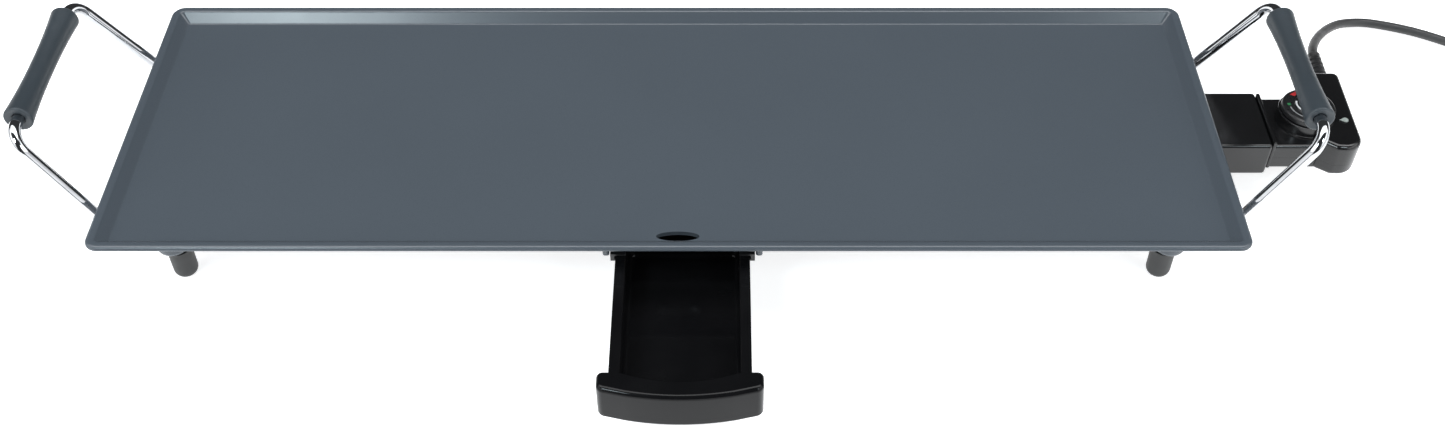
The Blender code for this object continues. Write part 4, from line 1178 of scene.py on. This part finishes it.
def studio_world():
    """A dark room with a soft ceiling and soft windows to either side of the front."""
    world = bpy.data.worlds.new("studio")
    bpy.context.scene.world = world
    world.use_nodes = True
    coordinates = node(world, "ShaderNodeTexCoord")
    ways = node(world, "ShaderNodeSeparateXYZ")
    link(world, coordinates.outputs["Generated"], ways.inputs[0])

    def maths(operation, *values):
        made = node(world, "ShaderNodeMath", operation=operation)
        for socket, value in zip(made.inputs, values):
            link(world, value, socket)
        return made.outputs[0]

    def within(limits):
        """How far a direction is inside the limits, with soft edges."""
        share = None
        for axis, dark, light in limits:
            value = ways.outputs[axis[0]]
            if axis.endswith("both"):
                value = maths("ABSOLUTE", value)
            step = ranged(world, value, 0.0, 1.0, dark, light, "SMOOTHSTEP")
            share = step if share is None else maths("MULTIPLY", share, step)
        return share

    shade = (DARK_ROOM, DARK_ROOM * 1.03, DARK_ROOM * 1.06)
    for limits, strength in LIGHTS:
        shade = mixed(world, within(limits), shade, (strength, strength * 1.01, strength * 1.02))
    link(world, shade, world.node_tree.nodes["Background"].inputs["Color"])


def floor():
    """A plain pale floor that glows a little, so that shadows on it stay faint."""
    mesh = bpy.data.meshes.new("floor")
    corners = [(-1, -1), (1, -1), (1, 1), (-1, 1)]
    mesh.from_pydata([(x * FLOOR_HALF, y * FLOOR_HALF, 0) for x, y in corners], [], [(0, 1, 2, 3)])
    glow = {"Emission_Color": (1, 1, 1, 1), "Emission_Strength": FLOOR_GLOW}
    paint = new_paint("studio_floor", Roughness=0.6, Specular_IOR_Level=0.2, **glow)
    coloured(paint, clouded(paint, 3, (0.86, 0.86, 0.865), (0.88, 0.88, 0.885)))
    mesh.materials.append(paint)
    made = bpy.data.objects.new("floor", mesh)
    bpy.context.scene.collection.objects.link(made)


def panel_light(name, place, size, power):
    light = bpy.data.lights.new(name, "AREA")
    light.shape = "RECTANGLE"
    light.size, light.size_y = size
    light.energy = power
    light.color = PANEL_COLOUR
    lamp = bpy.data.objects.new(name, light)
    lamp.location = place
    lamp.rotation_euler = (Vector(place) - PANEL_AIM).to_track_quat("Z", "Y").to_euler()
    bpy.context.scene.collection.objects.link(lamp)


def camera():
    view = bpy.data.cameras.new("camera")
    view.lens = CAMERA_LENS
    view.sensor_width = 36
    view.shift_x = CAMERA_SHIFT
    view.clip_start = 0.05
    view.clip_end = 60
    eye = bpy.data.objects.new("camera", view)
    eye.location = HOME + CAMERA_PLACE
    eye.rotation_euler = (CAMERA_TILT, 0, 0)
    bpy.context.scene.collection.objects.link(eye)
    bpy.context.scene.camera = eye
    bpy.context.scene.view_settings.view_transform = "Standard"


# Assembly


def build_griddle():
    piece(plate(), "griddle", "slate", "slate_coating", "griddle_plate", sharp=38)
    for side, hand in ((-1, "left"), (1, "right")):
        rod_wire = wire(f"handle_rod_{hand}", side)
        piece(rod_wire, "griddle", "chrome", "chrome_wire", f"handle_wire_{hand}")
        piece(grip(f"grip_{hand}", side), "griddle", "grip", "grip_plastic", f"handle_grip_{hand}")
        for end, place in ((-1, "front"), (1, "rear")):
            made = foot(f"standing_foot_{place}_{hand}", side, end)
            piece(made, "griddle", "foot", "foot_plastic", f"foot_{place}_{hand}")
    piece(element(), "griddle", "element", "element_sheath", "heating_element")
    piece(shroud(), "griddle", "control", "control_plastic", "connector_shroud")


def build_screws():
    names = [f"clip_screw_{place}" for place in CLIPS_AT]
    names += [f"shroud_screw_{place}" for place in SHROUD_SCREWS_AT]
    for place in ("front", "rear"):
        names += [f"rail_screw_{place}_{hand}" for hand in ("left", "right")]
    for name in names:
        piece(cross_screw(f"cross_{name}", name), "griddle", "steel", "steel", name)
    for place in CASE_SCREWS_AT:
        name = f"case_screw_{place}"
        piece(cross_screw(f"cross_{name}", name), "control", "steel", "steel", name)


def build_control():
    top = case_half("case_upper", CONTACT_Z + SPLIT_GAP, CASE_TOP)
    bottom = case_half("case_lower", CASE_BOTTOM, CONTACT_Z - SPLIT_GAP)
    piece(top, "control", "control", "control_plastic", "control_case_top")
    piece(bottom, "control", "control", "control_plastic", "control_case_bottom")
    piece(lens(), "control", "lens", "lens", "pilot_lens")
    piece(relief(), "control", "relief", "cord_rubber", "strain_relief", weighted=False, sharp=40)
    piece(dial(), "dial", "dial", "control_plastic", "control_dial")
    skirt = DIAL_BOTTOM + 0.0041
    middle = DIAL_BOTTOM + 0.00515
    marks = {
        "red": wedge_mark("mark_red", 0.0100, 0.0148, 112, 134, skirt),
        "green": arc_band("mark_green", 0.0131, 0.0022, 170, 179, skirt),
        "grey": arc_band("mark_outer_arc", 0.0128, 0.0008, 186, 240, skirt),
        # The white inner arc is a painted highlight along the edge of the raised middle; the other marks
        # are print.
        "white": arc_band("inner_arc_painted_highlight", 0.0086, 0.0012, 158, 238, middle),
    }
    for colour, mark in marks.items():
        piece(mark, "dial", colour, "lens", weighted=False)


def build_cord():
    line = spline(CORD_ROUTE + coil_points() + TAIL_ROUTE, 3)
    lead = tube("cord_lead", line, CORD_RADIUS, 20)
    nodes = ("power_cord", "cord_coil", "cord_tail")
    piece(lead, "control", "cord", "cord_rubber", *nodes, home=False)
    band = piece(tie(), "control", "relief", "control_plastic", "cord_tie", home=False)
    shell = piece(plug(), "control", "control", "control_plastic", "plug_body", home=False)


def dress_nodes():
    """The CAD nodes that stay in view get their materials, softened edges and smooth shading."""
    for name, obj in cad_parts.items():
        for paint, starts in DRESSED_NODES.items():
            if name.startswith(starts):
                painted(obj, paint)
                softened(obj)
                shaded(obj, 40)


floor()
studio_world()
for name, settings in PANELS.items():
    panel_light(name, *settings)
camera()
build_griddle()
build_screws()
piece(tray(), "tray", "tray", "tray_gloss", "drip_tray")
build_control()
build_cord()
dress_nodes()

bpy.context.view_layer.update()
